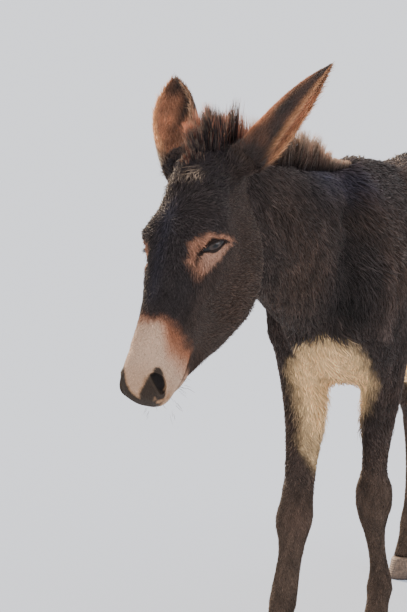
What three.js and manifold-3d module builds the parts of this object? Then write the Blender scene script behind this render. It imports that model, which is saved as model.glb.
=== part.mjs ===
// A young dark donkey, life size, standing with its head lowered and one forefoot a step ahead.
// Millimetres, +Z up. The animal faces -Y and its left side is at +X. Its solids reach the tips of the coat.
import * as THREE from "three";
import { mergeVertices } from "three/addons/utils/BufferGeometryUtils.js";
import Module from "manifold-3d";

const wasm = await Module();
wasm.setup();

// ---- Driving dimensions ----
const HEAD_LENGTH = 532; // poll to the front of the upper lip
const HEAD_YAW = 5.5; // degrees, turned to the animal's right
const HEAD_PITCH = 57; // degrees, nose below the horizontal
const HEAD_ROLL = 12; // degrees, left side up
const POLL = [-151, -802, 1097]; // top of the skull between the ears
const EYE_RADIUS = 18.5;
const EAR_LENGTH = 285;
const EAR_BEND = 9; // how far the middle of an ear bows towards its opening
const MANE_HEIGHT = 80;
const FORELOCK_HEIGHT = 98;
const FORELOCK_BACK = -768; // where the forelock ends and the mane begins
const KNEE_CUT = 382; // height of the parting above the knee
const HOCK_CUT = 452; // height of the parting above the hock
const HOOF_HEIGHT = 52;
const GAP = 0.35; // clearance between neighbouring pieces

const COAT = { color: 0x2d2320, roughness: 0.9 };
const HAIR = { color: 0x3d271d, roughness: 0.85 };
const HORN = { color: 0x9a8770, roughness: 0.6 };
const EYEBALL = { color: 0x0c0706, roughness: 0.1 };

const radians = THREE.MathUtils.degToRad;
const vector = (p) => new THREE.Vector3(...p);

// ---- Solids ----

// The value of every column at a fractional row number, on a Catmull-Rom curve through the rows.
function between(rows, t) {
  const last = rows.length - 1;
  const i = Math.min(Math.floor(t), last - 1);
  const u = t - i;
  const [p, q, r, s] = [i - 1, i, i + 1, i + 2].map((k) => rows[Math.min(Math.max(k, 0), last)]);
  return q.map((b, c) => {
    const [a, d, e] = [p[c], r[c], s[c]];
    return b + 0.5 * u * (d - a + u * (2 * a - 5 * b + 4 * d - e + u * (3 * (b - d) + e - a)));
  });
}

// One coordinate of a superellipse: n is 2 for an ellipse and more for a squarer form.
const squared = (value, n) => Math.sign(value) * Math.abs(value) ** (2 / n);

function solidFromArrays(positions, triangles) {
  return new wasm.Manifold(
    new wasm.Mesh({
      numProp: 3,
      vertProperties: new Float32Array(positions),
      triVerts: new Uint32Array(triangles),
    }),
  );
}

// A solid from rings of points, each closed on itself, with its end triangles added by closeEnds.
function solidFromRings(rings, closeEnds) {
  const sides = rings[0].length;
  const corners = rings.flat();
  const triangles = [];
  for (let i = 0; i + 1 < rings.length; i++) {
    for (let j = 0; j < sides; j++) {
      const a = i * sides + j;
      const b = i * sides + ((j + 1) % sides);
      triangles.push(a, b, a + sides, b, b + sides, a + sides);
    }
  }
  closeEnds(corners, triangles, sides, rings.length);
  return solidFromArrays(corners.flatMap((p) => p.toArray()), triangles);
}

// Ends closed by a fan round the middle of the first and last ring.
function fanEnds(corners, triangles, sides, count) {
  [0, count - 1].forEach((ring, isLast) => {
    const start = ring * sides;
    const middle = new THREE.Vector3();
    for (let j = 0; j < sides; j++) middle.addScaledVector(corners[start + j], 1 / sides);
    const centre = corners.push(middle) - 1;
    for (let j = 0; j < sides; j++) {
      const pair = [start + j, start + ((j + 1) % sides)];
      triangles.push(centre, ...(isLast ? pair : pair.reverse()));
    }
  });
}

// Ends closed by a strip between the outer and inner halves of a C-shaped ring.
function stripEnds(corners, triangles, sides, count) {
  [0, count - 1].forEach((ring, isLast) => {
    for (let j = 0; j < sides / 2 - 1; j++) {
      const [a, b, c, d] = [j, j + 1, sides - 2 - j, sides - 1 - j].map((k) => ring * sides + k);
      triangles.push(...(isLast ? [a, b, c, a, c, d] : [c, b, a, d, c, a]));
    }
  });
}

// A closed form through stations [x, y, z, half width, up, down, squareness up, squareness down].
// side is the direction of the width, domes are the lengths of the rounded ends, swells are
// [x, y, z, radius, height] mounds, turn twists the sections and grow moves the surface out.
function loft(rows, { side, sides = 20, steps = 20, domes = [0, 0], swells = [], turn = 0, grow = 0 }) {
  const rings = [];
  const last = rows.length - 1;
  const place = (t) => vector(between(rows, t).slice(0, 3));
  const addRing = (t, shrink, push) => {
    const [x, y, z, width, up, down, squareUp, squareDown] = between(rows, t);
    const along = place(Math.min(t + 0.05, last)).sub(place(Math.max(t - 0.05, 0))).normalize();
    const across = vector(side).addScaledVector(along, -along.dot(vector(side))).normalize();
    across.applyAxisAngle(along, radians(turn));
    const rise = new THREE.Vector3().crossVectors(along, across);
    const centre = new THREE.Vector3(x, y, z).addScaledVector(along, push);
    const ring = [];
    for (let j = 0; j < sides; j++) {
      const angle = (2 * Math.PI * j) / sides;
      const [c, s] = [Math.cos(angle), Math.sin(angle)];
      const n = s > 0 ? squareUp : squareDown;
      const out = across.clone().multiplyScalar(squared(c, n) * (shrink * width + grow));
      out.addScaledVector(rise, squared(s, n) * (shrink * (s > 0 ? up : down) + grow));
      const point = centre.clone().add(out);
      out.normalize();
      for (const [sx, sy, sz, radius, height] of swells) {
        const far = point.distanceTo(new THREE.Vector3(sx, sy, sz)) / radius;
        point.addScaledVector(out, height * Math.exp(-far * far));
      }
      ring.push(point);
    }
    rings.push(ring);
  };
  const domeSteps = 4;
  for (let k = domeSteps - 1; k > 0 && domes[0]; k--) {
    const angle = (Math.PI / 2) * (k / domeSteps);
    addRing(0, Math.cos(angle), -domes[0] * Math.sin(angle));
  }
  for (let i = 0; i <= steps; i++) addRing((last * i) / steps, 1, 0);
  for (let k = 1; k < domeSteps && domes[1]; k++) {
    const angle = (Math.PI / 2) * (k / domeSteps);
    addRing(last, Math.cos(angle), domes[1] * Math.sin(angle));
  }
  return solidFromRings(rings, fanEnds);
}

// A closed three.js geometry, placed by a matrix, as a solid.
function solidFromGeometry(geometry, matrix) {
  const plain = geometry.clone().applyMatrix4(matrix);
  plain.deleteAttribute("normal");
  plain.deleteAttribute("uv");
  const merged = mergeVertices(plain);
  return solidFromArrays(merged.attributes.position.array, merged.index.array);
}

// The largest of a solid's separate bodies: a cut can leave crumbs beside it.
const largest = (made) => made.decompose().sort((a, b) => b.volume() - a.volume())[0];

const without = (made, ...cutters) => largest(wasm.Manifold.difference([made, ...cutters]));

// An ellipsoid with its semi-axes along three given axes, as a cutter.
function ellipsoid(at, axes, radii) {
  const matrix = new THREE.Matrix4().makeBasis(...axes).setPosition(...at);
  matrix.multiply(new THREE.Matrix4().makeScale(...radii));
  return solidFromGeometry(new THREE.SphereGeometry(1, 12, 6), matrix);
}

function ball(at, radius) {
  const sphere = new THREE.SphereGeometry(radius, 12, 8);
  return solidFromGeometry(sphere, new THREE.Matrix4().makeTranslation(...at));
}

// Three axes at right angles: the first as given, the second as near as it can be to the one given.
function axesFrom(first, second) {
  const a = first.clone().normalize();
  const b = second.clone().addScaledVector(a, -a.dot(second)).normalize();
  return [a, b, new THREE.Vector3().crossVectors(a, b)];
}

// ---- Head, in its own frame: x to the animal's left, y back to the poll, z out of the forehead ----
const headFrame = new THREE.Matrix4()
  .makeRotationZ(-radians(HEAD_YAW))
  .multiply(new THREE.Matrix4().makeRotationX(radians(HEAD_PITCH)))
  .multiply(new THREE.Matrix4().makeRotationY(-radians(HEAD_ROLL)))
  .setPosition(...POLL);
const headPoint = (p) => vector(p).applyMatrix4(headFrame).toArray();
const headDirection = (p) => vector(p).transformDirection(headFrame);

// Distance from the poll; top, underside and widest level from the forehead line; half width; and
// the squareness of the section above and below its widest level.
const HEAD_STATIONS = [
  [-60, -88, -150, -112, 50, 2.2, 2.0],
  [-26, -34, -152, -88, 58, 2.3, 2.0],
  [20, 0, -162, -74, 66, 2.4, 2.0],
  [75, 7, -204, -76, 75, 2.5, 2.2],
  [123, 9, -244, -80, 83, 2.4, 2.4],
  [167, 9, -265, -78, 88, 2.3, 2.4],
  [205, 6, -267, -70, 85, 2.2, 2.4],
  [246, 0, -258, -66, 76, 2.2, 2.3],
  [295, -4, -238, -64, 62, 2.2, 2.2],
  [345, -7, -211, -62, 53, 2.1, 2.2],
  [394, -7, -180, -62, 48, 2.1, 2.2],
  [433, -5, -154, -62, 46, 2.1, 2.2],
  [470, -7, -130, -64, 47, 2.2, 2.2],
  [500, -17, -120, -68, 45, 2.2, 2.2],
];
const MUZZLE_ROUND = HEAD_LENGTH - HEAD_STATIONS.at(-1)[0];
const EYE = [69, -193, -50]; // centre of the left eyeball
const EYE_OUT = [0.92, -0.18, 0.34]; // the way that it looks
const EYE_SLIT = [-0.35, -0.73, 0.59]; // along the lids, to the inner corner
const NOSTRIL = [55, -503, -51];
const MOUTH = { corner: -396, level: -117, front: -98 };
const EAR_BASE = [85, 10, -62];

// The same swell on both sides of the head.
function pairedSwell([x, y, z], radius, height) {
  return [x, -x].map((side) => [...headPoint([side, y, z]), radius, height]);
}

function makeHead(grow) {
  const rows = HEAD_STATIONS.map(([far, top, bottom, level, width, squareUp, squareDown]) => {
    return [...headPoint([0, -far, level]), width, top - level, level - bottom, squareUp, squareDown];
  });
  const swells = [
    ...pairedSwell([86, -162, -26], 36, 25), // brow over the eye
    ...pairedSwell([84, -236, -76], 28, 5), // cheekbone
    ...pairedSwell([60, -140, -170], 60, 8), // cheek muscle
    ...pairedSwell([46, -480, -48], 26, 7), // wing of the nostril
    ...pairedSwell([44, -448, -95], 32, 3), // upper lip
    [...headPoint([0, -455, -135]), 30, 7], // chin
  ];
  const side = headDirection([1, 0, 0]).toArray();
  return loft(rows, { side, sides: 22, steps: 21, domes: [30, MUZZLE_ROUND], swells, grow });
}

const eyeCentre = (side) => headPoint([side * EYE[0], EYE[1], EYE[2]]);

// The room round an eyeball and the slit between the lids.
function eyeOpening(side) {
  const out = headDirection([side * EYE_OUT[0], EYE_OUT[1], EYE_OUT[2]]);
  const slit = headDirection([side * EYE_SLIT[0], EYE_SLIT[1], EYE_SLIT[2]]);
  const front = vector(eyeCentre(side)).addScaledVector(out, EYE_RADIUS).toArray();
  return ball(eyeCentre(side), EYE_RADIUS + GAP).add(ellipsoid(front, axesFrom(slit, out), [21, 14, 9]));
}

// A nostril: a slanting hollow that opens to the side and front.
function nostril(side) {
  const out = headDirection([side * 0.72, -0.55, 0.3]);
  const long = headDirection([side * 0.2, -0.55, -0.8]);
  return ellipsoid(headPoint([side * NOSTRIL[0], NOSTRIL[1], NOSTRIL[2]]), axesFrom(long, out), [19, 18, 9]);
}

// The line of the closed mouth: a thin slot round the front of the muzzle.
function mouthSlot() {
  const depth = HEAD_LENGTH + 30 + MOUTH.corner;
  const tilt = -Math.atan2(MOUTH.front - MOUTH.level, depth);
  const matrix = headFrame
    .clone()
    .multiply(new THREE.Matrix4().makeTranslation(0, MOUTH.corner, MOUTH.level))
    .multiply(new THREE.Matrix4().makeRotationX(tilt))
    .multiply(new THREE.Matrix4().makeTranslation(0, -depth / 2, 0));
  return solidFromGeometry(new THREE.BoxGeometry(160, depth, 1.4), matrix);
}

// ---- Ears: leaf-shaped cups ----
// Share of the length, half width, depth of the cup, half angle of the wall round it.
const EAR_STATIONS = [
  [0, 34, 34, 150],
  [0.1, 40, 38, 138],
  [0.24, 46, 43, 124],
  [0.42, 49, 43, 114],
  [0.58, 47, 39, 108],
  [0.74, 38, 30, 104],
  [0.88, 23, 17, 102],
  [0.96, 12, 8, 100],
  [1, 4, 4, 98],
];
const EARS = {
  ear_left: { side: 1, along: [0.46, 0.59, 0.72], open: [0.75, -0.05, -0.66] },
  ear_right: { side: -1, along: [-0.33, 0.63, 0.7], open: [0.1, -0.95, 0.25] },
};

function makeEar({ side, along, open }) {
  const [axis, facing, across] = axesFrom(vector(along), vector(open));
  const base = vector(headPoint([side * EAR_BASE[0], EAR_BASE[1], EAR_BASE[2]]));
  const steps = 11;
  const wallPoints = 8;
  const rings = [];
  for (let i = 0; i <= steps; i++) {
    const [share, width, depth, wrap] = between(EAR_STATIONS, ((EAR_STATIONS.length - 1) * i) / steps);
    const bow = EAR_BEND * Math.sin(Math.PI * share);
    const centre = base.clone().addScaledVector(axis, share * EAR_LENGTH).addScaledVector(facing, bow);
    const wall = 3 + 4 * (1 - share);
    const ring = [];
    for (let j = 0; j < 2 * wallPoints; j++) {
      const isInner = j >= wallPoints;
      const k = isInner ? 2 * wallPoints - 1 - j : j;
      const angle = radians(wrap) * (1 - (2 * k) / (wallPoints - 1));
      const inset = isInner ? wall : 0;
      const point = centre.clone().addScaledVector(across, (width - inset) * Math.sin(angle));
      ring.push(point.addScaledVector(facing, (inset - depth) * Math.cos(angle)));
    }
    rings.push(ring);
  }
  return solidFromRings(rings, stripEnds);
}

// ---- Neck and trunk ----
const NECK_STATIONS = [
  [0, -250, 850, 122, 225, 240, 1.7, 2.2],
  [-12, -340, 866, 118, 214, 222, 1.7, 2.2],
  [-36, -450, 898, 102, 188, 196, 1.7, 2.1],
  [-66, -550, 930, 88, 160, 160, 1.7, 2.0],
  [-100, -640, 956, 77, 142, 134, 1.8, 2.0],
  [-130, -722, 974, 68, 126, 118, 1.9, 2.0],
];

function makeNeck(grow) {
  return loft(NECK_STATIONS, { side: [1, 0, 0], sides: 18, steps: 7, domes: [0, 60], grow });
}

// Distance back, back line, belly line, level of the greatest width, half width, squareness up and down.
const TRUNK_STATIONS = [
  [-440, 960, 640, 790, 98, 1.9, 2.2],
  [-390, 1048, 602, 790, 126, 1.8, 2.3],
  [-330, 1088, 588, 790, 140, 1.7, 2.3],
  [-262, 1101, 582, 790, 152, 1.6, 2.3],
  [-170, 1094, 574, 790, 168, 1.8, 2.3],
  [-60, 1082, 558, 785, 186, 2.0, 2.2],
  [70, 1086, 548, 785, 194, 2.1, 2.2],
  [180, 1104, 562, 800, 188, 2.1, 2.2],
  [290, 1122, 610, 840, 176, 2.0, 2.2],
  [390, 1118, 680, 870, 162, 2.0, 2.1],
  [480, 1088, 730, 890, 140, 2.0, 2.0],
  [550, 1036, 770, 900, 108, 2.0, 2.0],
];

function makeTrunk(grow) {
  const rows = TRUNK_STATIONS.map(([y, top, bottom, level, width, squareUp, squareDown]) => {
    return [0, y, level, width, top - level, level - bottom, squareUp, squareDown];
  });
  const mirrored = (x, y, z, radius, height) => [x, -x].map((side) => [side, y, z, radius, height]);
  const swells = [
    ...mirrored(110, -430, 770, 60, 16), // point of the shoulder
    ...mirrored(130, -250, 760, 80, 8), // muscle behind the shoulder blade
    ...mirrored(130, 270, 1030, 55, 14), // point of the hip
    ...mirrored(90, 540, 930, 60, 8), // seat bone
  ];
  return loft(rows, { side: [-1, 0, 0], sides: 20, steps: 15, domes: [56, 44], swells, grow });
}

// ---- Legs ----
// Stations down each leg: lateral place, distance back, height, half width, half depth front and back.
const LEG_STATIONS = {
  fore: [
    [92, -345, 800, 56, 92, 96],
    [98, -332, 715, 58, 90, 92],
    [92, -305, 635, 54, 72, 70],
    [80, -288, 560, 48, 50, 52],
    [69, -278, 480, 39, 39, 42],
    [63, -276, 400, 32, 33, 34],
    [59, -277, 342, 42, 40, 38],
    [60, -276, 296, 37, 37, 36],
    [64, -274, 245, 24, 24, 29],
    [70, -273, 200, 21, 21, 28],
    [74, -272, 165, 24, 23, 31],
    [76, -274, 130, 32, 30, 34],
    [76, -292, 92, 26, 25, 27],
    [76, -307, 46, 35, 37, 37],
  ],
  hind: [
    [92, 395, 930, 62, 150, 150],
    [104, 398, 800, 66, 150, 150],
    [108, 382, 690, 62, 128, 135],
    [102, 410, 590, 48, 88, 92],
    [95, 458, 510, 36, 56, 56],
    [90, 506, 448, 28, 40, 44],
    [88, 526, 400, 32, 42, 50],
    [88, 522, 345, 26, 30, 38],
    [89, 516, 260, 21, 22, 28],
    [90, 508, 180, 23, 23, 29],
    [91, 498, 135, 29, 28, 32],
    [91, 474, 95, 25, 23, 25],
    [91, 458, 46, 34, 36, 35],
  ],
};
// Heights of the elbow or stifle, the knee or hock, the fetlock and the sole.
const JOINTS = { fore: [700, 320, 130, 0], hind: [760, 400, 135, 0] };
const SQUARE = [[0, 0], [0, 0], [0, 0], [0, 0]];
// Where each leg's joints are moved from the table, out and back, and its toe-out in degrees.
const LEGS = [
  { kind: "fore", suffix: "left", side: 1, moves: SQUARE, turn: 4 },
  { kind: "fore", suffix: "right", side: -1, moves: [[-6, 0], [-2, -188], [-9, -238], [2, -248]], turn: 18 },
  { kind: "hind", suffix: "left", side: 1, moves: [[0, 0], [2, 26], [4, 44], [4, 52]], turn: 6 },
  { kind: "hind", suffix: "right", side: -1, moves: SQUARE, turn: 6 },
];

// The table's rows for one leg, moved so that its joints land in their places.
function legRows({ kind, side, moves }) {
  const heights = JOINTS[kind];
  const move = (z, axis) => {
    const k = Math.max(1, heights.findIndex((height) => height <= z));
    const share = Math.max(0, (heights[k - 1] - z) / (heights[k - 1] - heights[k]));
    return THREE.MathUtils.lerp(moves[k - 1][axis], moves[k][axis], share);
  };
  return LEG_STATIONS[kind].map(([x, y, z, width, front, back]) => {
    return [side * (x + move(z, 0)), y + move(z, 1), z, width, front, back, 2.1, 2.1];
  });
}

function makeLeg(leg) {
  return loft(legRows(leg), { side: [1, 0, 0], sides: 10, steps: 20, turn: -leg.side * leg.turn });
}

// A hoof: an oval at the coronet that widens to a flat sole, longer at the toe than at the heel.
function makeHoof(leg) {
  const [x, y] = legRows(leg).at(-1);
  const rows = [
    [x, y + 2, HOOF_HEIGHT + 10, 33, 35, 37, 2, 2.6],
    [x, y - 4, HOOF_HEIGHT * 0.72, 36, 41, 37, 2, 2.6],
    [x, y - 10, HOOF_HEIGHT * 0.35, 38, 45, 36, 2, 2.6],
    [x, y - 18, -12, 41, 51, 35, 2, 2.6],
  ];
  const whole = loft(rows, { side: [1, 0, 0], sides: 12, steps: 3, turn: -leg.side * leg.turn });
  return whole.trimByPlane([0, 0, 1], 0).trimByPlane([0, 0, -1], -HOOF_HEIGHT);
}

// ---- Tail, mane and forelock ----
const TAIL_STATIONS = [
  [0, 560, 1030, 28, 26, 26, 2, 2],
  [0, 600, 1000, 27, 24, 24, 2, 2],
  [0, 624, 940, 22, 20, 20, 2, 2],
  [1, 634, 850, 18, 17, 17, 2, 2],
  [2, 634, 770, 17, 16, 16, 2, 2],
  [3, 632, 700, 18, 17, 17, 2, 2],
];
const SWITCH_STATIONS = [
  [3, 632, 699, 18, 17, 17, 2, 2],
  [4, 631, 650, 27, 25, 26, 2, 2],
  [5, 630, 570, 33, 30, 32, 2, 2],
  [6, 630, 490, 28, 26, 28, 2, 2],
  [7, 632, 430, 13, 13, 13, 2, 2],
];

// Crest from the withers to the poll: x, y, z on the neck's top, share of the hair's full height.
const CREST = [
  [0, -310, 1080, 0.1],
  [-16, -380, 1076, 0.32],
  [-28, -425, 1076, 0.6],
  [-42, -470, 1076, 0.86],
  [-68, -550, 1080, 0.96],
  [-100, -640, 1088, 1.1],
  [-126, -705, 1092, 1.3],
  [-142, -772, 1086, 1.3],
];
const FORELOCK_RIDGE = [
  [0, 48, -64, 1],
  [0, 24, -26, 1.06],
  [0, -4, -6, 0.8],
  [0, -36, 2, 0.35],
].map(([x, y, z, tall]) => [...headPoint([x, y, z]), tall]);

// A fin of hair that stands along a ridge, thin at its tips, which are notched like locks.
function hairFin(ridge, { height, locks, width, lean }) {
  const steps = 2 * locks;
  const last = ridge.length - 1;
  const hair = vector(lean).normalize();
  const rings = [];
  for (let i = 0; i <= steps; i++) {
    const t = (last * i) / steps;
    const [x, y, z, tall] = between(ridge, t);
    const ahead = vector(between(ridge, Math.min(t + 0.1, last)).slice(0, 3));
    const behind = vector(between(ridge, Math.max(t - 0.1, 0)).slice(0, 3));
    const across = new THREE.Vector3().crossVectors(hair, ahead.sub(behind)).setLength(width);
    const rise = height * tall * (i % 2 ? 1 : 0.8);
    const half = [[1, -14], [1, 0.2 * rise], [0.55, 0.7 * rise]];
    const outline = [...half, [0, rise], ...half.toReversed().map(([out, up]) => [-out, up])];
    const root = new THREE.Vector3(x, y, z);
    rings.push(
      outline.map(([out, up]) => {
        return root.clone().addScaledVector(across, out).addScaledVector(hair, up);
      }),
    );
  }
  return solidFromRings(rings, fanEnds);
}

// ---- Parting the body ----
// A leg's share of the body: an outline across the body, extruded along it between two distances.
const LIMB_REGIONS = {
  fore: {
    outline: [[5, -10], [5, 520], [38, 600], [62, 700], [112, 800], [140, 860], [300, 860], [300, -10]],
    reach: [-640, -195],
  },
  hind: {
    outline: [[5, -10], [5, 540], [40, 610], [70, 720], [118, 900], [150, 1010], [300, 1010], [300, -10]],
    reach: [288, 700],
  },
};

function limbRegion({ kind, side }, grow) {
  const { outline, reach } = LIMB_REGIONS[kind];
  const shape = new THREE.Shape(outline.map(([x, z]) => new THREE.Vector2(x - grow, z + grow)));
  const depth = reach[1] - reach[0] + 2 * grow;
  const prism = new THREE.ExtrudeGeometry(shape, { depth, bevelEnabled: false });
  const upright = new THREE.Matrix4().makeRotationX(Math.PI / 2).setPosition(0, reach[1] + grow, 0);
  const region = solidFromGeometry(prism, upright);
  return side > 0 ? region : region.mirror([1, 0, 0]);
}

const animal = new THREE.Group();

function addNode(name, made, finish) {
  const { vertProperties, triVerts } = made.getMesh();
  const geometry = new THREE.BufferGeometry();
  geometry.setAttribute("position", new THREE.BufferAttribute(vertProperties, 3));
  geometry.setIndex(new THREE.BufferAttribute(triVerts, 1));
  geometry.computeVertexNormals();
  const node = new THREE.Mesh(geometry, new THREE.MeshStandardMaterial({ ...finish, metalness: 0 }));
  node.name = name;
  animal.add(node);
}

let body = makeTrunk(0).add(makeNeck(0));
for (const leg of LEGS) body = body.add(makeLeg(leg));
body = body.trimByPlane([0, 0, 1], HOOF_HEIGHT + GAP);

for (const leg of LEGS) {
  const limb = largest(body.intersect(limbRegion(leg, 0)));
  body = body.subtract(limbRegion(leg, GAP));
  const [upper, cut] = leg.kind === "fore" ? ["forearm", KNEE_CUT] : ["thigh", HOCK_CUT];
  addNode(`${upper}_${leg.suffix}`, largest(limb.trimByPlane([0, 0, 1], cut + GAP)), COAT);
  addNode(`${leg.kind}_cannon_${leg.suffix}`, largest(limb.trimByPlane([0, 0, -1], -cut)), COAT);
  addNode(`${leg.kind}_hoof_${leg.suffix}`, makeHoof(leg), HORN);
}

// The neck meets the trunk along a plane from in front of the withers down to the breast.
const headRoom = makeHead(GAP);
const neckNormal = new THREE.Vector3(0, -0.9, 0.436).normalize();
const neckPlace = neckNormal.dot(new THREE.Vector3(0, -330, 1090));
const trunk = largest(body.trimByPlane(neckNormal.clone().negate().toArray(), -neckPlace));
addNode("trunk", trunk, COAT);
addNode("neck", without(body.trimByPlane(neckNormal.toArray(), neckPlace + GAP), headRoom), COAT);

const headHollows = [eyeOpening(1), eyeOpening(-1), nostril(1), nostril(-1), mouthSlot()];
addNode("head", without(makeHead(0), ...headHollows), COAT);
addNode("eye_left", ball(eyeCentre(1), EYE_RADIUS), EYEBALL);
addNode("eye_right", ball(eyeCentre(-1), EYE_RADIUS), EYEBALL);
const ears = Object.entries(EARS).map(([name, ear]) => {
  const made = without(makeEar(ear), headRoom);
  addNode(name, made, COAT);
  return made;
});

const bodyRoom = makeTrunk(GAP).add(makeNeck(GAP));
const mane = hairFin(CREST, { height: MANE_HEIGHT, locks: 9, width: 14, lean: [0, 0, 1] });
const forelock = hairFin(FORELOCK_RIDGE, {
  height: FORELOCK_HEIGHT,
  locks: 3,
  width: 26,
  lean: [-0.05, -0.2, 1],
});
const behindForelock = mane.trimByPlane([0, 1, 0], FORELOCK_BACK + GAP);
addNode("mane", without(behindForelock, bodyRoom, headRoom, ...ears), HAIR);
const aheadOfMane = forelock.trimByPlane([0, -1, 0], -FORELOCK_BACK);
addNode("forelock", without(aheadOfMane, bodyRoom, headRoom, ...ears), HAIR);

const tail = loft(TAIL_STATIONS, { side: [1, 0, 0], sides: 10, steps: 7 });
addNode("tail", without(tail, makeTrunk(GAP)), COAT);
const tailSwitch = loft(SWITCH_STATIONS, { side: [1, 0, 0], sides: 10, steps: 7, domes: [0, 20] });
addNode("tail_switch", tailSwitch, HAIR);

// The origin is the middle of the base of the whole animal's box.
const box = new THREE.Box3().setFromObject(animal);
const middle = box.getCenter(new THREE.Vector3());
animal.position.set(-middle.x, -middle.y, -box.min.z);

const donkey = new THREE.Group();
donkey.name = "donkey";
donkey.add(animal);

export default donkey;
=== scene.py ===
"""A young dark donkey as a still, life-size model. Metres, +Z up; it faces -Y with its left side at +X."""

import math

import bmesh
import bpy
import numpy as np
from mathutils import Matrix, Vector
from mathutils.bvhtree import BVHTree


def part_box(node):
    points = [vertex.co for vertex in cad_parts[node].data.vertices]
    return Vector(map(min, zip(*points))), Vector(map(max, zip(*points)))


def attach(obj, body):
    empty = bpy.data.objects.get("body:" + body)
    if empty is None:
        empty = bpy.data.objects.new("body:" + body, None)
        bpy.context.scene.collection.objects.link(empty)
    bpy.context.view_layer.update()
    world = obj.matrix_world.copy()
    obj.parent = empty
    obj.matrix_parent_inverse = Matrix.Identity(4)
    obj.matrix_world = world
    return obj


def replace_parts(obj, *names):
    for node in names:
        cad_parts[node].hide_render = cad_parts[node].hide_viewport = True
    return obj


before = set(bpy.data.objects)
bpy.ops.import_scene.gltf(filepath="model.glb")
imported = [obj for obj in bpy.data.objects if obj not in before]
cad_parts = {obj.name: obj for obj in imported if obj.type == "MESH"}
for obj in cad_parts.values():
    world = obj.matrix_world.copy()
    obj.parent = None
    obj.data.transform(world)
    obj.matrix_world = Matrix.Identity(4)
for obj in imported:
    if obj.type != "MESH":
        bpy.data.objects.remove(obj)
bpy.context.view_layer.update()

rng = np.random.default_rng(7)

# ---- The head's own frame: x to the animal's left, y back to the poll, z out of the forehead ----
HEAD_TURN = Matrix.Rotation(math.radians(-5.5), 3, "Z") @ Matrix.Rotation(math.radians(57), 3, "X")
HEAD_AXES = np.array(HEAD_TURN @ Matrix.Rotation(math.radians(-12), 3, "Y"))
EYE_CENTRE = np.array([0.069, -0.193, -0.050])  # middle of the solid eyeball
EYE = EYE_CENTRE + [0.0022, 0.0012, -0.0024]  # middle of the one that is seen
EYE_RADIUS = 0.0185
EYE_LONG = 1.58  # its length along the slit, for a height of 1
EYE_OUT = np.array([0.87, -0.33, 0.37])  # the way it looks
EYE_SLIT = np.array([-0.35, -0.73, 0.59])  # along the slit, to the inner corner
LASH_LIE = np.array([0.6, -0.5, -0.6])  # the way the lashes are drawn from straight out
NOSTRIL = np.array([0.052, -0.499, -0.048])
NOSTRIL_HALF = (0.0245, 0.0118)  # half its length and half its width
NOSTRIL_CURVE = 9  # how much it curves, per metre
NOSTRIL_OUT = np.array([0.72, -0.55, 0.30])
NOSTRIL_LONG = np.array([0.20, -0.55, -0.80])
MOUTH_CORNER = np.array([-0.396, -0.117])  # y and z
MOUTH_FRONT = np.array([-0.562, -0.098])
MOUTH_SAG = 0.010
WHORL = np.array([-0.007, -0.150, 0.005])  # where the hair of the face parts

eye_box = [np.array(corner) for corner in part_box("eye_left")]
POLL = (eye_box[0] + eye_box[1]) / 2 - HEAD_AXES @ EYE_CENTRE
OWN_POLL = np.array([-0.151, -0.802, 1.097])  # in the animal's own frame, which has the withers at x 0
SHIFT = POLL - OWN_POLL  # from the animal's own frame to the row frame


def to_head(points):
    return (points - POLL) @ HEAD_AXES


def from_head(points):
    return points @ HEAD_AXES.T + POLL


def unit(vectors):
    return vectors / np.maximum(np.linalg.norm(vectors, axis=-1, keepdims=True), 1e-9)


def dots(a, b):
    return (a * b).sum(-1)


def step(low, high, value):
    """0 below low, 1 above high, and a smooth rise between; low may be the greater."""
    t = np.clip((value - low) / (high - low), 0, 1)
    return t * t * (3 - 2 * t)


def hump(value, middle, width):
    """A soft weight, 1 where the value is the middle one."""
    return np.exp(-(((value - middle) / width) ** 2))


def bump(points, centre, radius):
    """A soft round weight, 1 at the centre."""
    return np.exp(-((points - centre) ** 2).sum(-1) / radius**2)


def ridge(points, start, end, radius):
    """A soft weight round the line from start to end."""
    start, end = np.asarray(start), np.asarray(end)
    line = end - start
    share = np.clip((points - start) @ line / (line @ line), 0, 1)
    return bump(points, start + share[:, None] * line, radius)


def waves(points, size, seed, count=6):
    """A smooth wandering value of about -1 to 1 that changes over the given size."""
    made = np.random.default_rng(seed)
    directions = unit(made.normal(size=(count, 3))) * made.uniform(0.7, 1.5, (count, 1))
    phases = made.uniform(0, 2 * math.pi, count)
    return np.sin(points @ directions.T * (2 * math.pi / size) + phases).sum(-1) / math.sqrt(count)


def mirror_of(side):
    """What a point or direction of the left side is multiplied by for side 1, the left, or -1, the right."""
    return np.array([side, 1, 1])


def on_both(points, spot, radius):
    """A soft weight round a spot of the left side and round the same spot of the right side."""
    return sum(bump(points, mirror_of(side) * spot, radius) for side in (1, -1))


def axes_from(first, second):
    """Three square axes: along first, near second, and across both."""
    a = unit(first)
    b = unit(second - a * (a @ second))
    return [a, b, np.cross(a, b)]


def eye_axes(side):
    """Out of an eye, along its slit and across it, in the head's frame."""
    return axes_from(mirror_of(side) * EYE_OUT, mirror_of(side) * EYE_SLIT)


# ---- Mesh helpers ----
def vertices_of(mesh):
    made = np.empty(len(mesh.vertices) * 3)
    mesh.vertices.foreach_get("co", made)
    return made.reshape(-1, 3)


def set_vertices(mesh, points):
    mesh.vertices.foreach_set("co", points.astype(np.float32).ravel())
    mesh.update()


def normals_of(mesh):
    made = np.empty(len(mesh.vertices) * 3, np.float32)
    mesh.vertex_normals.foreach_get("vector", made)
    return made.reshape(-1, 3).astype(float)


def edges_of(mesh):
    made = np.empty(len(mesh.edges) * 2, np.int32)
    mesh.edges.foreach_get("vertices", made)
    return made.reshape(-1, 2)


def triangles_of(mesh):
    mesh.calc_loop_triangles()
    made = np.empty(len(mesh.loop_triangles) * 3, np.int32)
    mesh.loop_triangles.foreach_get("vertices", made)
    return made.reshape(-1, 3)


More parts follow.
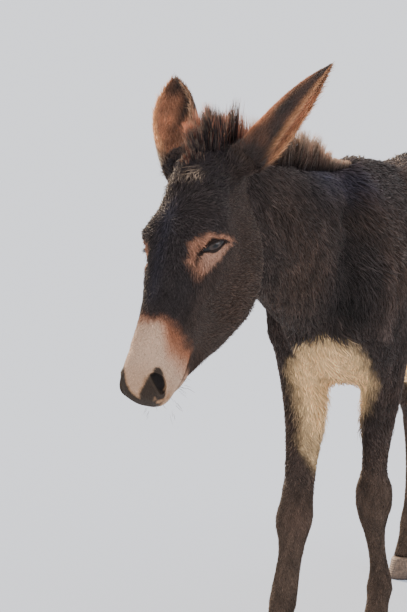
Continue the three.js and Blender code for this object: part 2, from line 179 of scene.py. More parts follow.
def smoothed(values, edges, amount, times):
    """values at the vertices after being drawn to the mean of their neighbours, times over."""
    values = np.array(values, float)
    flat = values.reshape(len(values), -1)
    ends = np.concatenate([edges[:, 0], edges[:, 1]])
    others = np.concatenate([edges[:, 1], edges[:, 0]])
    counts = np.maximum(np.bincount(ends, minlength=len(flat)), 1)
    amount = np.broadcast_to(amount, len(flat))
    for _ in range(times):
        for column in flat.T:
            mean = np.bincount(ends, weights=column[others], minlength=len(flat)) / counts
            column += amount * (mean - column)
    return values


def add_object(name, mesh):
    made = bpy.data.objects.new(name, mesh)
    bpy.context.scene.collection.objects.link(made)
    return made


def smooth_shaded(mesh):
    mesh.polygons.foreach_set("use_smooth", np.ones(len(mesh.polygons), bool))
    mesh.update()


def mesh_from(name, points, triangles):
    """A mesh made quickly from arrays of points and triangles."""
    mesh = bpy.data.meshes.new(name)
    mesh.vertices.add(len(points))
    mesh.vertices.foreach_set("co", points.astype(np.float32).ravel())
    mesh.loops.add(triangles.size)
    mesh.loops.foreach_set("vertex_index", triangles.astype(np.int32).ravel())
    mesh.polygons.add(len(triangles))
    mesh.polygons.foreach_set("loop_start", np.arange(0, triangles.size, 3, dtype=np.int32))
    mesh.update(calc_edges=True)
    smooth_shaded(mesh)
    return mesh


def add_piece(name, mesh, material):
    """A piece of the animal from its mesh."""
    mesh.materials.append(material)
    made = add_object(name, mesh)
    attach(made, "root")
    return made


def join_into(target, others):
    with bpy.context.temp_override(active_object=target, selected_editable_objects=[target, *others]):
        bpy.ops.object.join()


def modified(mesh, kind, **settings):
    """A new mesh: what one modifier with its settings makes of the given one."""
    rough = add_object("rough", mesh)
    modifier = rough.modifiers.new("change", kind)
    for key, value in settings.items():
        setattr(modifier, key, value)
    graph = bpy.context.evaluated_depsgraph_get()
    made = bpy.data.meshes.new_from_object(rough.evaluated_get(graph))
    bpy.data.objects.remove(rough)
    return made


# ---- Skin ----
SKIN_GRAIN = 0.005
SKIN_SHARE = 0.5  # of the skin's faces that are kept once the coat has grown on it

# The solids under each region of the skin.
FLESH = {
    "head": ["head"],
    "neck": ["neck"],
    "trunk": ["trunk"],
    "forearm": ["forearm_left", "forearm_right"],
    "thigh": ["thigh_left", "thigh_right"],
    "cannon": ["fore_cannon_left", "fore_cannon_right", "hind_cannon_left", "hind_cannon_right"],
    "tail": ["tail"],
    "ear": ["ear_left", "ear_right"],
}
REGIONS = list(FLESH)

# By region: how much its form is eased, how far its skin lies under the tips of the coat, and the length,
# width and lift of its hair.
REGION_VALUES = {
    "head": (0.12, 0.0022, 0.0095, 0.0014, 0.18),
    "neck": (0.5, 0.006, 0.022, 0.0028, 0.22),
    "trunk": (0.6, 0.006, 0.024, 0.0032, 0.20),
    "forearm": (0.25, 0.004, 0.015, 0.0024, 0.18),
    "thigh": (0.4, 0.005, 0.020, 0.0030, 0.22),
    "cannon": (0.06, 0.0018, 0.008, 0.0018, 0.20),
    "tail": (0.1, 0.003, 0.014, 0.0022, 0.3),
    "ear": (0.1, 0.001, 0.014, 0.0018, 0.4),
}
EASE, COAT_DEPTH, LENGTHS, WIDTHS, LIFTS = zip(*(REGION_VALUES[region] for region in REGIONS))

# Balls that fill the hollows of the head, left side: place, long axis, the way it faces, how far it is set
# out that way, radii.
FILLINGS = [
    (EYE, EYE_SLIT, EYE_OUT, 0.003, (0.034, 0.0165, 0.0205)),
    (NOSTRIL, NOSTRIL_LONG, NOSTRIL_OUT, -0.006, (0.023, 0.017, 0.014)),
]
EAR_ROOT = (0.050, 0.034, 0.034)  # radii of the ball that joins each ear to the head


def add_ball(solid, centre, axes, radii):
    """An ellipsoid that fills a hollow before the skin is drawn over it."""
    placed = Matrix.Translation(Vector(centre)) @ Matrix(np.array(axes).T.tolist()).to_4x4()
    placed = placed @ Matrix.Diagonal([*radii, 1])
    bmesh.ops.create_icosphere(solid, subdivisions=3, radius=1, matrix=placed)


def body_form():
    """The body and head as one even mesh, with the hollows of the eyes and nostrils filled."""
    solid = bmesh.new()
    for region in REGIONS:
        if region != "ear":
            for node in FLESH[region]:
                solid.from_mesh(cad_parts[node].data)
    for place, long, out, forward, radii in FILLINGS:
        for side in (1, -1):
            mirror = mirror_of(side)
            axes = [HEAD_AXES @ axis for axis in axes_from(mirror * long, mirror * out)]
            add_ball(solid, from_head(mirror * place + forward * mirror * out), axes, radii)
    for side, along, opening in EARS.values():
        base = from_head(mirror_of(side) * EAR_BASE)
        axes = axes_from(along, opening)
        add_ball(solid, base + 0.012 * axes[0] - 0.004 * axes[1], axes, EAR_ROOT)
    mesh = bpy.data.meshes.new("skin")
    solid.to_mesh(mesh)
    solid.free()
    return modified(mesh, "REMESH", mode="VOXEL", voxel_size=SKIN_GRAIN)


def region_weights(mesh, spread):
    """How far each vertex belongs to each region of the body, blended over their borders."""
    corners, faces, owners = [], [], []
    for number, region in enumerate(REGIONS):
        for node in FLESH[region]:
            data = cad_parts[node].data
            start = len(corners)
            corners.extend(v.co.copy() for v in data.vertices)
            faces.extend([start + i for i in polygon.vertices] for polygon in data.polygons)
            owners.extend([number] * len(data.polygons))
    tree = BVHTree.FromPolygons(corners, faces)
    points = vertices_of(mesh)
    weights = np.zeros((len(points), len(REGIONS)))
    for i, point in enumerate(points):
        weights[i, owners[tree.find_nearest(Vector(point))[2]]] = 1
    return smoothed(weights, edges_of(mesh), 0.6, spread)


def refine(mesh, chosen):
    """Cuts the faces whose middle is chosen into four."""
    solid = bmesh.new()
    solid.from_mesh(mesh)
    middles = np.array([face.calc_center_median() for face in solid.faces])
    wanted = chosen(middles)
    edges = {edge for face, want in zip(solid.faces, wanted) if want for edge in face.edges}
    bmesh.ops.subdivide_edges(solid, edges=list(edges), cuts=1, use_grid_fill=True)
    bmesh.ops.triangulate(solid, faces=[face for face in solid.faces if len(face.verts) > 4])
    solid.to_mesh(mesh)
    solid.free()


# Stations up an ear: share of the length, half width, depth of the cup, half angle of the wall round it in
# degrees.
EAR_STATIONS = np.array(
    [
        [0, 0.034, 0.034, 150],
        [0.10, 0.040, 0.038, 138],
        [0.24, 0.046, 0.043, 124],
        [0.42, 0.049, 0.043, 114],
        [0.58, 0.047, 0.039, 108],
        [0.74, 0.038, 0.030, 104],
        [0.88, 0.023, 0.017, 102],
        [0.96, 0.012, 0.008, 100],
        [1.0, 0.004, 0.004, 98],
    ]
)
EAR_LENGTH = 0.284
EAR_BEND = 0.009
EAR_BASE = np.array([0.085, 0.010, -0.062])
EAR_DEPTH = 0.0012  # how far the shell lies under the tips of its coat
EAR_WALL = (0.0022, 0.0035)  # thickness at the tip, and how much more there is at the base
# Side, the way the ear points and the way its cup opens.
EARS = {
    "left": (1, np.array([0.46, 0.59, 0.72]), np.array([0.75, -0.05, -0.66])),
    "right": (-1, np.array([-0.33, 0.63, 0.70]), np.array([0.10, -0.95, 0.25])),
}

# The groove between the base of the neck and the left shoulder.
GROOVE = [(0.031, -0.366, 1.041), (0.054, -0.433, 0.957), (0.065, -0.464, 0.872), (0.070, -0.477, 0.766)]

# The front edge of the left shoulder, raised in the skin and lit by a painted highlight in the coat.
SHOULDER_EDGE = [(0.114, -0.368, 0.862), (0.134, -0.408, 0.785), (0.130, -0.408, 0.711)]

# Forms under the skin in the animal's own frame, left side: start, end, radius, height.
BODY_FORMS = [
    ((0.135, -0.20, 1.02), (0.150, -0.36, 0.82), 0.035, 0.005),  # spine of the shoulder blade
    (GROOVE[0], GROOVE[1], 0.030, -0.010),  # groove in front of the shoulder
    (GROOVE[1], GROOVE[2], 0.032, -0.012),  # the same, lower
    (GROOVE[2], GROOVE[3], 0.030, -0.012),  # the same, lowest
    (SHOULDER_EDGE[0], SHOULDER_EDGE[1], 0.018, 0.007),  # front edge of the shoulder
    (SHOULDER_EDGE[1], SHOULDER_EDGE[2], 0.020, 0.006),  # the same, lower
    ((0.150, -0.10, 0.93), (0.160, -0.17, 0.70), 0.040, -0.006),  # hollow behind the shoulder
    ((0.125, -0.42, 0.80), (0.130, -0.40, 0.70), 0.030, 0.007),  # point of the shoulder
    ((0.050, -0.47, 0.82), (0.050, -0.44, 0.68), 0.035, 0.008),  # breast muscle
    ((0.000, -0.48, 0.84), (0.000, -0.44, 0.66), 0.018, -0.010),  # groove between the breast muscles
    ((0.140, -0.30, 0.70), (0.130, -0.22, 0.66), 0.035, 0.006),  # elbow and the muscle above it
    ((0.150, 0.20, 0.78), (0.150, 0.24, 0.62), 0.050, -0.006),  # flank
    ((0.150, 0.30, 0.72), (0.140, 0.33, 0.66), 0.040, 0.007),  # stifle
    ((0.110, 0.48, 0.90), (0.110, 0.50, 0.66), 0.035, -0.005),  # groove along the ham
    ((0.085, 0.00, 1.06), (0.080, 0.25, 1.08), 0.040, -0.004),  # loin beside the spine
]

# Forms of the forelegs where each stands, in the animal's own frame: start, end, radius, height.
FORELEG_FORMS = [
    ((-0.063, -0.335, 0.580), (-0.060, -0.424, 0.400), 0.055, 0.008),  # right forearm
    ((-0.057, -0.464, 0.345), (-0.060, -0.466, 0.295), 0.050, -0.009),  # right knee
    ((0.100, -0.280, 0.350), (0.100, -0.280, 0.320), 0.028, 0.007),  # outer side of the left knee
]

# Forms of the head, left side, in its own frame: start, end, radius, height.
HEAD_FORMS = [
    ((0.078, -0.228, -0.088), (0.060, -0.345, -0.085), 0.011, 0.0045),  # facial crest
    ((0.070, -0.262, -0.062), (0.050, -0.360, -0.045), 0.020, -0.004),  # hollow beside the nose bone
    ((0.030, -0.250, 0.004), (0.024, -0.420, -0.010), 0.012, 0.0025),  # edge of the nose bone
    ((0.074, -0.110, -0.155), (0.070, -0.190, -0.200), 0.045, 0.006),  # chewing muscle
    ((0.066, -0.272, -0.170), (0.050, -0.380, -0.140), 0.024, -0.006),  # hollow in front of it
    ((0.070, -0.085, -0.070), (0.076, -0.140, -0.110), 0.022, -0.004),  # hollow above the jaw joint
    ((0.074, -0.120, -0.020), (0.080, -0.145, -0.030), 0.018, -0.005),  # hollow over the eye
    ((0.082, -0.170, -0.018), (0.088, -0.205, -0.026), 0.012, 0.003),  # rim of the eye socket
    ((0.036, -0.455, -0.010), (0.046, -0.500, -0.020), 0.014, 0.002),  # cartilage over the nostril
    ((0.052, -0.450, -0.062), (0.058, -0.478, -0.080), 0.014, 0.003),  # wing of the nostril
    ((0.034, -0.440, -0.125), (0.020, -0.500, -0.120), 0.014, 0.003),  # lower lip
]


def carve(points, normals, forms, sides=(1, -1)):
    """Moves the points in or out along their normals by the forms, on the left side alone or on both."""
    moved = points.copy()
    for start, end, radius, height in forms:
        for side in sides if start[0] != 0 else sides[:1]:
            mirror = mirror_of(side)
            weight = ridge(points, start * mirror, end * mirror, radius)
            moved += (height * weight)[:, None] * normals
    return moved


def slit_angles(points, side):
    """For points round an eyeball: distance from its middle, angles along and across the slit, and offset."""
    out, along, across = eye_axes(side)
    offset = points - mirror_of(side) * EYE
    forward, sideways, upward = offset @ out, offset @ along / EYE_LONG, -side * (offset @ across)
    far = np.sqrt(forward**2 + sideways**2 + upward**2)
    return far, np.arctan2(sideways, forward), np.arctan2(upward, forward), offset


SLIT_HALF = 1.02  # half the slit's angle round the ball
UPPER_LID = 0.38  # the lids' angles from the middle line
LOWER_LID = 0.32
SLIT_ROUND = 1.7  # 1 for a slit that is a diamond, 2 for one that is round


def slit_reach(along, across):
    """Less than 1 between the lids, and growing outward."""
    lid = np.where(across > 0, UPPER_LID, LOWER_LID)
    power = SLIT_ROUND
    return ((np.abs(along) / SLIT_HALF) ** power + (np.abs(across) / lid) ** power) ** (1 / power)


def lid_width(along, across):
    """How far outside the slit a place lies, in metres over the ball."""
    outside = 1 - 1 / np.maximum(slit_reach(along, across), 1)
    return outside * np.hypot(along * EYE_LONG, across) * EYE_RADIUS


LID_THICK = 0.0022
LID_EDGE = (0.0002, 0.0020)  # gap between the edge of a lid and the ball, and the rise from there
SLIT_DEPTH = 0.0045  # how far the skin between the lids is sunk under the ball's surface
# Reach, width and height of the swelling of the upper lid, and of the folds round both.
UPPER_RIM = (1.25, 0.2, 0.0012)
LID_FOLDS = [(1.62, 0.12, -0.0016), (1.9, 0.12, 0.0008), (2.2, 0.1, -0.0008)]


def form_lids(points, side):
    """Draws the skin round the eyeball into two lids with a slit between them."""
    far, along, across, offset = slit_angles(points, side)
    near = (far < 0.06) & (np.abs(along) < 1.5) & (np.abs(across) < 1.5)
    reach = slit_reach(along, across)
    middle, width, height = UPPER_RIM
    lid = EYE_RADIUS + LID_THICK + height * (across > 0) * hump(reach, middle, width)
    for middle, width, height in LID_FOLDS:
        lid = lid + height * hump(reach, middle, width)
    hold = step(2.9, 1.2, reach) * step(1.5, 1.1, np.abs(along))
    wanted = far * (1 - hold) + lid * hold
    edge = EYE_RADIUS + LID_EDGE[0] + LID_EDGE[1] * step(1.0, 1.10, reach)
    wanted = np.where(reach < 1.10, edge, wanted)
    wanted = np.where(reach < 1.0, EYE_RADIUS - SLIT_DEPTH, wanted)
    scale = np.where(near, wanted / np.maximum(far, 1e-6), 1)
    return points + offset * (scale - 1)[:, None]


def nostril_reach(points, side):
    """Less than 1 in a nostril and growing outward, the distance along the way it faces, and that way."""
    mirror = mirror_of(side)
    out, long, across = axes_from(mirror * NOSTRIL_OUT, mirror * NOSTRIL_LONG)
    offset = points - mirror * NOSTRIL
    up, over = offset @ long, side * (offset @ across)
    over = over + NOSTRIL_CURVE * up**2
    return np.sqrt((up / NOSTRIL_HALF[0]) ** 2 + (over / NOSTRIL_HALF[1]) ** 2), offset @ out, out


NOSTRIL_DEPTH = 0.020
NOSTRIL_NEAR = 0.035  # how far in front or behind its colour and its bare skin reach
NOSTRIL_RIM = (1.3, 0.28, 0.0026)  # reach, width and height


def form_nostril(points, side):
    """Sinks a nostril into the muzzle, with a raised rim."""
    reach, deep, out = nostril_reach(points, side)
    near = (np.abs(deep) < 0.03) & (reach < 2.4)
    depth = -NOSTRIL_DEPTH * np.sqrt(np.clip(1 - reach**1.5, 0, 1))
    middle, width, height = NOSTRIL_RIM
    rim = height * hump(reach, middle, width)
    return points + (np.where(near, depth + rim, 0))[:, None] * out


def mouth_level(back):
    """Height of the line of the mouth at a distance along the head."""
    share = (back - MOUTH_CORNER[0]) / (MOUTH_FRONT[0] - MOUTH_CORNER[0])
    straight = MOUTH_CORNER[1] + share * (MOUTH_FRONT[1] - MOUTH_CORNER[1])
    return straight - MOUTH_SAG * np.sin(np.clip(share, 0, 1) * math.pi)


LIP_RISE = 0.0022
MOUTH_DEPTH = 0.0052


def form_mouth(points, normals):
    """A groove where the lips meet, with a soft lip on each side of it."""
    above = points[:, 2] - mouth_level(points[:, 1])
    front = step(MOUTH_CORNER[0] + 0.006, MOUTH_CORNER[0] - 0.012, points[:, 1])
    lips = LIP_RISE * hump(np.abs(above), 0.008, 0.006) - MOUTH_DEPTH * hump(above, 0, 0.0024)
    return points + (front * lips)[:, None] * normals


def turn_out_cannon(own):
    """The right fore cannon is turned out, so its deep side with the tendons faces more to the front."""
    across = np.array([0.92, 0.39])
    wider = 0.30
    x, y, z = own.T
    leg = (x < 0) & (y < 0.1)
    chosen = leg & (z > 0.16) & (z < 0.30)
    slope, start = np.polyfit(own[chosen, 2], own[chosen, :2], 1)
    offset = (own[:, :2] - own[:, 2:] * slope - start) @ across
    share = step(0.12, 0.19, z) * step(0.36, 0.28, z) * leg
    moved = own.copy()
    moved[:, :2] += (wider * share * offset)[:, None] * across
    return moved


def make_skin():
    """The skin under the coat, without the ears: a mesh in the row frame."""
    mesh = body_form()
    weights = region_weights(mesh, 6)
    set_vertices(mesh, smoothed(vertices_of(mesh), edges_of(mesh), weights @ EASE, 60))
    inset = smoothed(weights @ COAT_DEPTH, edges_of(mesh), 0.5, 10)
    set_vertices(mesh, vertices_of(mesh) - inset[:, None] * normals_of(mesh))
    at_radius = math.exp(-1)  # the weight of a soft spot at its own radius

    def in_head(middles):
        x, y, z = to_head(middles).T
        return (y < 0.03) & (y > -0.6) & (np.abs(x) < 0.13) & (z > -0.32)

    def in_detail(middles):
        place = to_head(middles)
        return in_head(middles) & ((place[:, 1] < -0.38) | (on_both(place, EYE, 0.05) > at_radius))

    def in_lids(middles):
        place = to_head(middles)
        return (on_both(place, EYE, 0.034) > at_radius) | (on_both(place, NOSTRIL, 0.030) > at_radius)

    for chosen in (in_head, in_detail, in_lids):
        refine(mesh, chosen)
        finer = chosen(vertices_of(mesh)).astype(float)
        set_vertices(mesh, smoothed(vertices_of(mesh), edges_of(mesh), 0.5 * finer, 5))

    points = turn_out_cannon(vertices_of(mesh) - SHIFT)
    points = carve(points, normals_of(mesh), FORELEG_FORMS, (1,))
    set_vertices(mesh, carve(points, normals_of(mesh), BODY_FORMS) + SHIFT)
    place = to_head(vertices_of(mesh))
    turned = normals_of(mesh) @ HEAD_AXES
    headed = step(0.05, 0.0, place[:, 1]) * step(-0.34, -0.30, place[:, 2])
    place += headed[:, None] * (carve(place, turned, HEAD_FORMS) - place)
    place = form_mouth(place, turned)
    for side in (1, -1):
        place = form_nostril(place, side)
        place = form_lids(place, side)
    set_vertices(mesh, from_head(place))
    return mesh


# ---- Ears ----
def ear_grid(side, along, opening, rows=64, columns=33):
    """The outer and inner faces of one ear as grids of points, from its base to its tip."""
    axis, facing, across = axes_from(along, opening)
    base = from_head(mirror_of(side) * EAR_BASE)
    share = np.linspace(0, 1, rows) ** 0.9
    stations = [np.interp(share, EAR_STATIONS[:, 0], column) for column in EAR_STATIONS[:, 1:].T]
    width, depth, wrap = (np.convolve(np.pad(v, 3, "edge"), np.ones(7) / 7, "valid") for v in stations)
    bow = EAR_BEND * np.sin(math.pi * share)
    centre = base + share[:, None] * EAR_LENGTH * axis + bow[:, None] * facing
    turn = np.linspace(1, -1, columns)
    angle = np.radians(wrap)[:, None] * turn[None, :]
    wall = (EAR_WALL[0] + EAR_WALL[1] * (1 - share))[:, None] * np.ones_like(angle)
    wall *= 1 - 0.6 * np.abs(turn[None, :]) ** 6
    sheets = []
    for inner in (0, 1):
        out = (width[:, None] - EAR_DEPTH - inner * wall) * np.sin(angle)
        back = (inner * wall + EAR_DEPTH - depth[:, None]) * np.cos(angle)
        sheets.append(centre[:, None] + out[..., None] * across + back[..., None] * facing)
    return sheets, share, turn, axis


def ear_shell(side, along, opening):
    """Points and triangles of one ear, closed round its rim, tip and base, and where each point lies."""
    (outer, inner), share, turn, axis = ear_grid(side, along, opening)
    rows, columns = outer.shape[:2]
    ring = np.concatenate([outer, inner[:, ::-1]], axis=1)
    count = ring.shape[1]
    index = np.arange(rows * count).reshape(rows, count)
    a, b = index[:-1], np.roll(index, -1, axis=1)[:-1]
    c, d = index[1:], np.roll(index, -1, axis=1)[1:]
    triangles = [np.stack([a, b, d], -1).reshape(-1, 3), np.stack([a, d, c], -1).reshape(-1, 3)]
    for row, flip in ((0, True), (rows - 1, False)):
        j = np.arange(columns - 1)
        first, second = index[row, j], index[row, j + 1]
        third, fourth = index[row, count - 2 - j], index[row, count - 1 - j]
        ends = np.concatenate([np.stack([first, second, third], -1), np.stack([first, third, fourth], -1)])
        triangles.append(ends[:, ::-1] if flip else ends)
    triangles = np.concatenate(triangles)
    points = ring.reshape(-1, 3)
    first, second, third = (points[triangles[:, k]] for k in range(3))
    if dots(first, np.cross(second, third)).sum() < 0:
        triangles = triangles[:, ::-1]
    inside = np.concatenate([np.zeros(columns), np.ones(columns)])
    turns = np.concatenate([turn, turn[::-1]])
    shares = np.repeat(share, count)
    return points, triangles, shares, np.tile(turns, rows), np.tile(inside, rows), axis


# ---- Markings and painted light: the colour of skin and coat at any place ----
def shade(red, green, blue):
    """A colour from its everyday 0 to 255 values."""
    return np.array([((v / 255 + 0.055) / 1.055) ** 2.4 for v in (red, green, blue)])


BROWN_BLACK = shade(56, 47, 44)
WARM_BROWN = shade(71, 55, 46)
LEG_BROWN = shade(87, 70, 58)
KNEE_BROWN = shade(112, 80, 68)
RUST = shade(166, 106, 75)
RUST_PALE = shade(194, 138, 106)
MUZZLE_WHITE = shade(212, 176, 148)
RING_TAN = shade(170, 120, 94)
RING_PALE = shade(178, 135, 112)
NOSE_GREY = shade(65, 53, 43)
LIP_TAN = shade(186, 142, 104)
INK = shade(26, 21, 20)
# A bluish tint for painted sky sheen and reflection on the dark coat.
SKY_SHEEN_BLUE = shade(60, 65, 88)
# The pale cream of the breast, belly and inner thighs, painted brighter than its own colour as the glow of
# backlit hair and light from the ground.
CREAM_WITH_GLOW = shade(255, 214, 158)
# The pale hair round an ear's rim, painted brighter as rim light from behind.
EAR_RIM_LIT = shade(212, 150, 104)
# The inside of an ear, painted brighter than its own colour as the glow of backlit hair.
EAR_INSIDE_GLOW = shade(230, 158, 118)
EAR_BACK = shade(210, 134, 92)
HAIR_DARK = shade(46, 39, 40)
HAIR_RUST = shade(224, 127, 86)
# Pale hair tips, partly their own colour and partly painted sunlit rim and highlights.
HAIR_PALE_SUNLIT = shade(230, 199, 168)


SKIN_SHADE = 0.8  # the skin for the hair on it
EAR_SHADE = 0.85  # the same in the ears


def blend(base, colour, weight):
    return base + np.clip(weight, 0, 1)[:, None] * (colour - base)


# Outline of the ring round an eye, from its middle: towards the inner corner, and upward.
RING_TOP = [
    (-0.052, -0.005),
    (-0.044, 0.006),
    (-0.015, 0.021),
    (0.007, 0.029),
    (0.030, 0.031),
    (0.048, 0.022),
    (0.062, -0.006),
]
RING_BOTTOM = [
    (-0.052, -0.009),
    (-0.022, -0.018),
    (-0.006, -0.028),
    (0.015, -0.034),
    (0.034, -0.040),
    (0.048, -0.052),
    (0.066, -0.050),
]


def eye_markings_and_lid_shade(place, colour, side):
    """The tan ring round an eye, pinker below, with dark lids widened as painted shadow of the lids, and a
    dark inner corner.
    """
    far, along, across, offset = slit_angles(place, side)
    _, slit, over = eye_axes(side)
    inward, upward = offset @ slit, -side * (offset @ over)
    close = (far < 0.085) & (side * place[:, 0] > 0.02)
    wander = 0.0022 * waves(place, 0.022, 14) + 0.0012 * waves(place, 0.008, 15)
    top = np.interp(inward, *zip(*RING_TOP))
    bottom = np.interp(inward, *zip(*RING_BOTTOM))
    inside = np.minimum(top - upward, upward - bottom) + wander
    inside = np.minimum(inside, np.minimum(inward + 0.054, 0.067 - inward))
    weight = step(-0.007, 0.008, inside) * (1 - 0.75 * step(0.040, 0.064, inward - 0.6 * (upward + 0.03)))
    colour = blend(colour, RING_TAN, weight * close)
    pale = step(0.001, -0.012, upward - 0.10 * inward)
    pale = pale * step(0.048, 0.030, inward) * step(-0.046, -0.030, upward)
    colour = blend(colour, RING_PALE, 0.85 * pale * weight * close)
    # Dark lid skin, painted wide enough to stand for the lids' shadow as well.
    lid = step(0.0086, 0.0058, lid_width(along, across))
    flat = np.stack([inward, upward], 1)
    outer_corner = ridge(flat, (-0.028, -0.003), (-0.037, -0.004), 0.0036)
    inner_corner = ridge(flat, (0.022, 0.000), (0.032, -0.003), 0.0058)
    duct = 0.8 * ridge(flat, (0.034, -0.004), (0.048, -0.013), 0.0065)
    dark = 0.95 * lid + step(0.3, 0.8, outer_corner + inner_corner) + step(0.25, 1.0, duct)
    return blend(colour, INK, np.clip(dark, 0, 0.96) * close)


# Lines along the dark skin of the nose in the head's frame: start, end, radius.
NOSE_LINES = [
    ((0.044, -0.478, -0.038), (0.043, -0.506, -0.064), 0.0105),
    ((0.037, -0.494, -0.038), (0.024, -0.520, -0.046), 0.0130),
    ((0.037, -0.500, -0.052), (0.039, -0.514, -0.074), 0.0115),
    ((0.043, -0.509, -0.046), (0.039, -0.516, -0.058), 0.0085),
    ((0.024, -0.524, -0.052), (0.008, -0.532, -0.070), 0.0150),
    ((-0.033, -0.482, -0.024), (-0.018, -0.514, -0.036), 0.0140),
    ((-0.044, -0.484, -0.040), (-0.030, -0.516, -0.062), 0.0220),
    ((-0.016, -0.518, -0.042), (0.000, -0.532, -0.066), 0.0160),
    ((-0.026, -0.526, -0.084), (0.026, -0.526, -0.084), 0.0170),
    ((-0.022, -0.530, -0.100), (0.022, -0.530, -0.100), 0.0130),
]
LIP_PATCHES = [(0.029, -0.517, -0.083), (0.036, -0.500, -0.096), (-0.033, -0.515, -0.084)]
LIP_PATCH_RADIUS = 0.0095


def nose_markings(place, colour):
    """The dark skin of the nose: round each nostril and down to the lips, with tan between."""
    dark = np.max([ridge(place, start, end, radius) for start, end, radius in NOSE_LINES], axis=0)
    dark = dark + 0.03 * waves(place, 0.016, 13)
    tan = step(-0.452, -0.505, place[:, 1]) * np.maximum(step(0.02, 0.30, dark), 0.45)
    colour = blend(colour, LIP_TAN, 0.8 * tan)
    colour = blend(colour, NOSE_GREY, step(0.22, 0.58, dark))
    lip = sum(bump(place, np.array(patch), LIP_PATCH_RADIUS) for patch in LIP_PATCHES)
    return blend(colour, LIP_TAN, step(0.3, 0.75, lip))


def head_markings_and_sheen(place, colour):
    """The pale muzzle with its rusty edge, the dark nose, the rings round the eyes and a painted bluish sheen
    down the nose bridge.
    """
    y, z = place[:, 1], place[:, 2]
    wander = waves(place, 0.05, 11) * 0.004 + waves(place, 0.014, 12) * 0.002
    colour = blend(colour, WARM_BROWN, 0.7 * step(-0.05, -0.13, z))
    colour = blend(colour, BROWN_BLACK * [0.8, 0.85, 0.95], 0.7 * step(-0.08, -0.03, z))
    # Painted highlight: a bluish sheen of sky light along the nose bridge.
    colour = blend(colour, SKY_SHEEN_BLUE, 0.20 * ridge(place, (-0.012, -0.13, 0.010), (-0.006, -0.32, 0.002), 0.018))
    brown = step(0.349, 0.381, -y + 1.2 * wander - 0.024 * step(-0.03, -0.09, z))
    colour = blend(colour, RUST, brown * (0.92 + 0.08 * waves(place, 0.03, 17)))
    pale = -y + wander - 0.379 - 0.060 * step(-0.016, -0.058, z)
    rosy = np.maximum(step(-0.040, 0.0, pale), 0.35 * step(-0.385, -0.435, y))
    colour = blend(colour, RUST_PALE, rosy * step(-0.006, -0.03, z) * brown)
    soft = 0.018 + 0.012 * step(-0.016, -0.045, z)
    colour = blend(colour, MUZZLE_WHITE, step(-1, 1, pale / soft))
    jaw = step(0.001, -0.004, z - mouth_level(y)) * step(-0.452, -0.418, y + 0.5 * wander)
    colour = blend(colour, WARM_BROWN, jaw)
    colour = nose_markings(place, colour)
    mouth = hump(z, mouth_level(y), 0.0030) * step(MOUTH_CORNER[0] + 0.01, MOUTH_CORNER[0] - 0.01, y)
    colour = blend(colour, NOSE_GREY * 0.5, 0.8 * mouth)
    for side in (1, -1):
        hole, deep, _ = nostril_reach(place, side)
        colour = blend(colour, INK, 0.9 * step(1.05, 0.65, hole) * (np.abs(deep) < NOSTRIL_NEAR))
        colour = eye_markings_and_lid_shade(place, colour, side)
    return colour


# The pale breast and insides of the forelegs: height, and the edge on the animal's left and on its right.
BREAST = [
    (0.390, -0.010, 0.000),
    (0.420, 0.000, -0.018),
    (0.465, 0.008, -0.032),
    (0.490, 0.020, -0.042),
    (0.520, 0.034, -0.055),
    (0.555, 0.052, -0.070),
    (0.605, 0.076, -0.091),
    (0.630, 0.083, -0.093),
    (0.655, 0.077, -0.075),
    (0.690, 0.058, -0.028),
    (0.710, 0.022, 0.020),
    (0.720, -0.020, 0.040),
]


def pale_parts(points, normals, share):
    """How far each place belongs to the pale breast, the pale belly or the pale insides of the thighs."""
    x, y, z = (points - SHIFT).T
    rough = 0.012 * waves(points, 0.10, 22) + 0.007 * waves(points, 0.03, 23)
    heights, left_edge, right_edge = np.array(BREAST).T
    within = np.minimum(np.interp(z, heights, left_edge) - x, x - np.interp(z, heights, right_edge))
    breast = step(-0.034, 0.026, within + 0.7 * rough) * (y < -0.12) * step(0.385, 0.43, z)
    inward = -np.sign(x) * normals[:, 0] + 8 * rough
    legs = legs_of(share)
    inner = step(0.35, 0.75, inward) * step(0.50, 0.60, z) * step(0.735, 0.66, z) * legs * (y > 0)
    behind = step(-0.30, -0.18, y)
    belly = step(-0.45, -0.75, normals[:, 2] + 8 * rough) * share["trunk"] * behind
    belly = np.maximum(belly, step(0.70, 0.64, z + 0.3 * np.abs(x)) * share["trunk"] * behind)
    pale = np.clip(np.maximum(inner, np.maximum(belly, breast)), 0, 1)
    return pale * (1 - share["head"]) * (1 - share["neck"])


def legs_of(share):
    return share["forearm"] + share["thigh"] + share["cannon"]


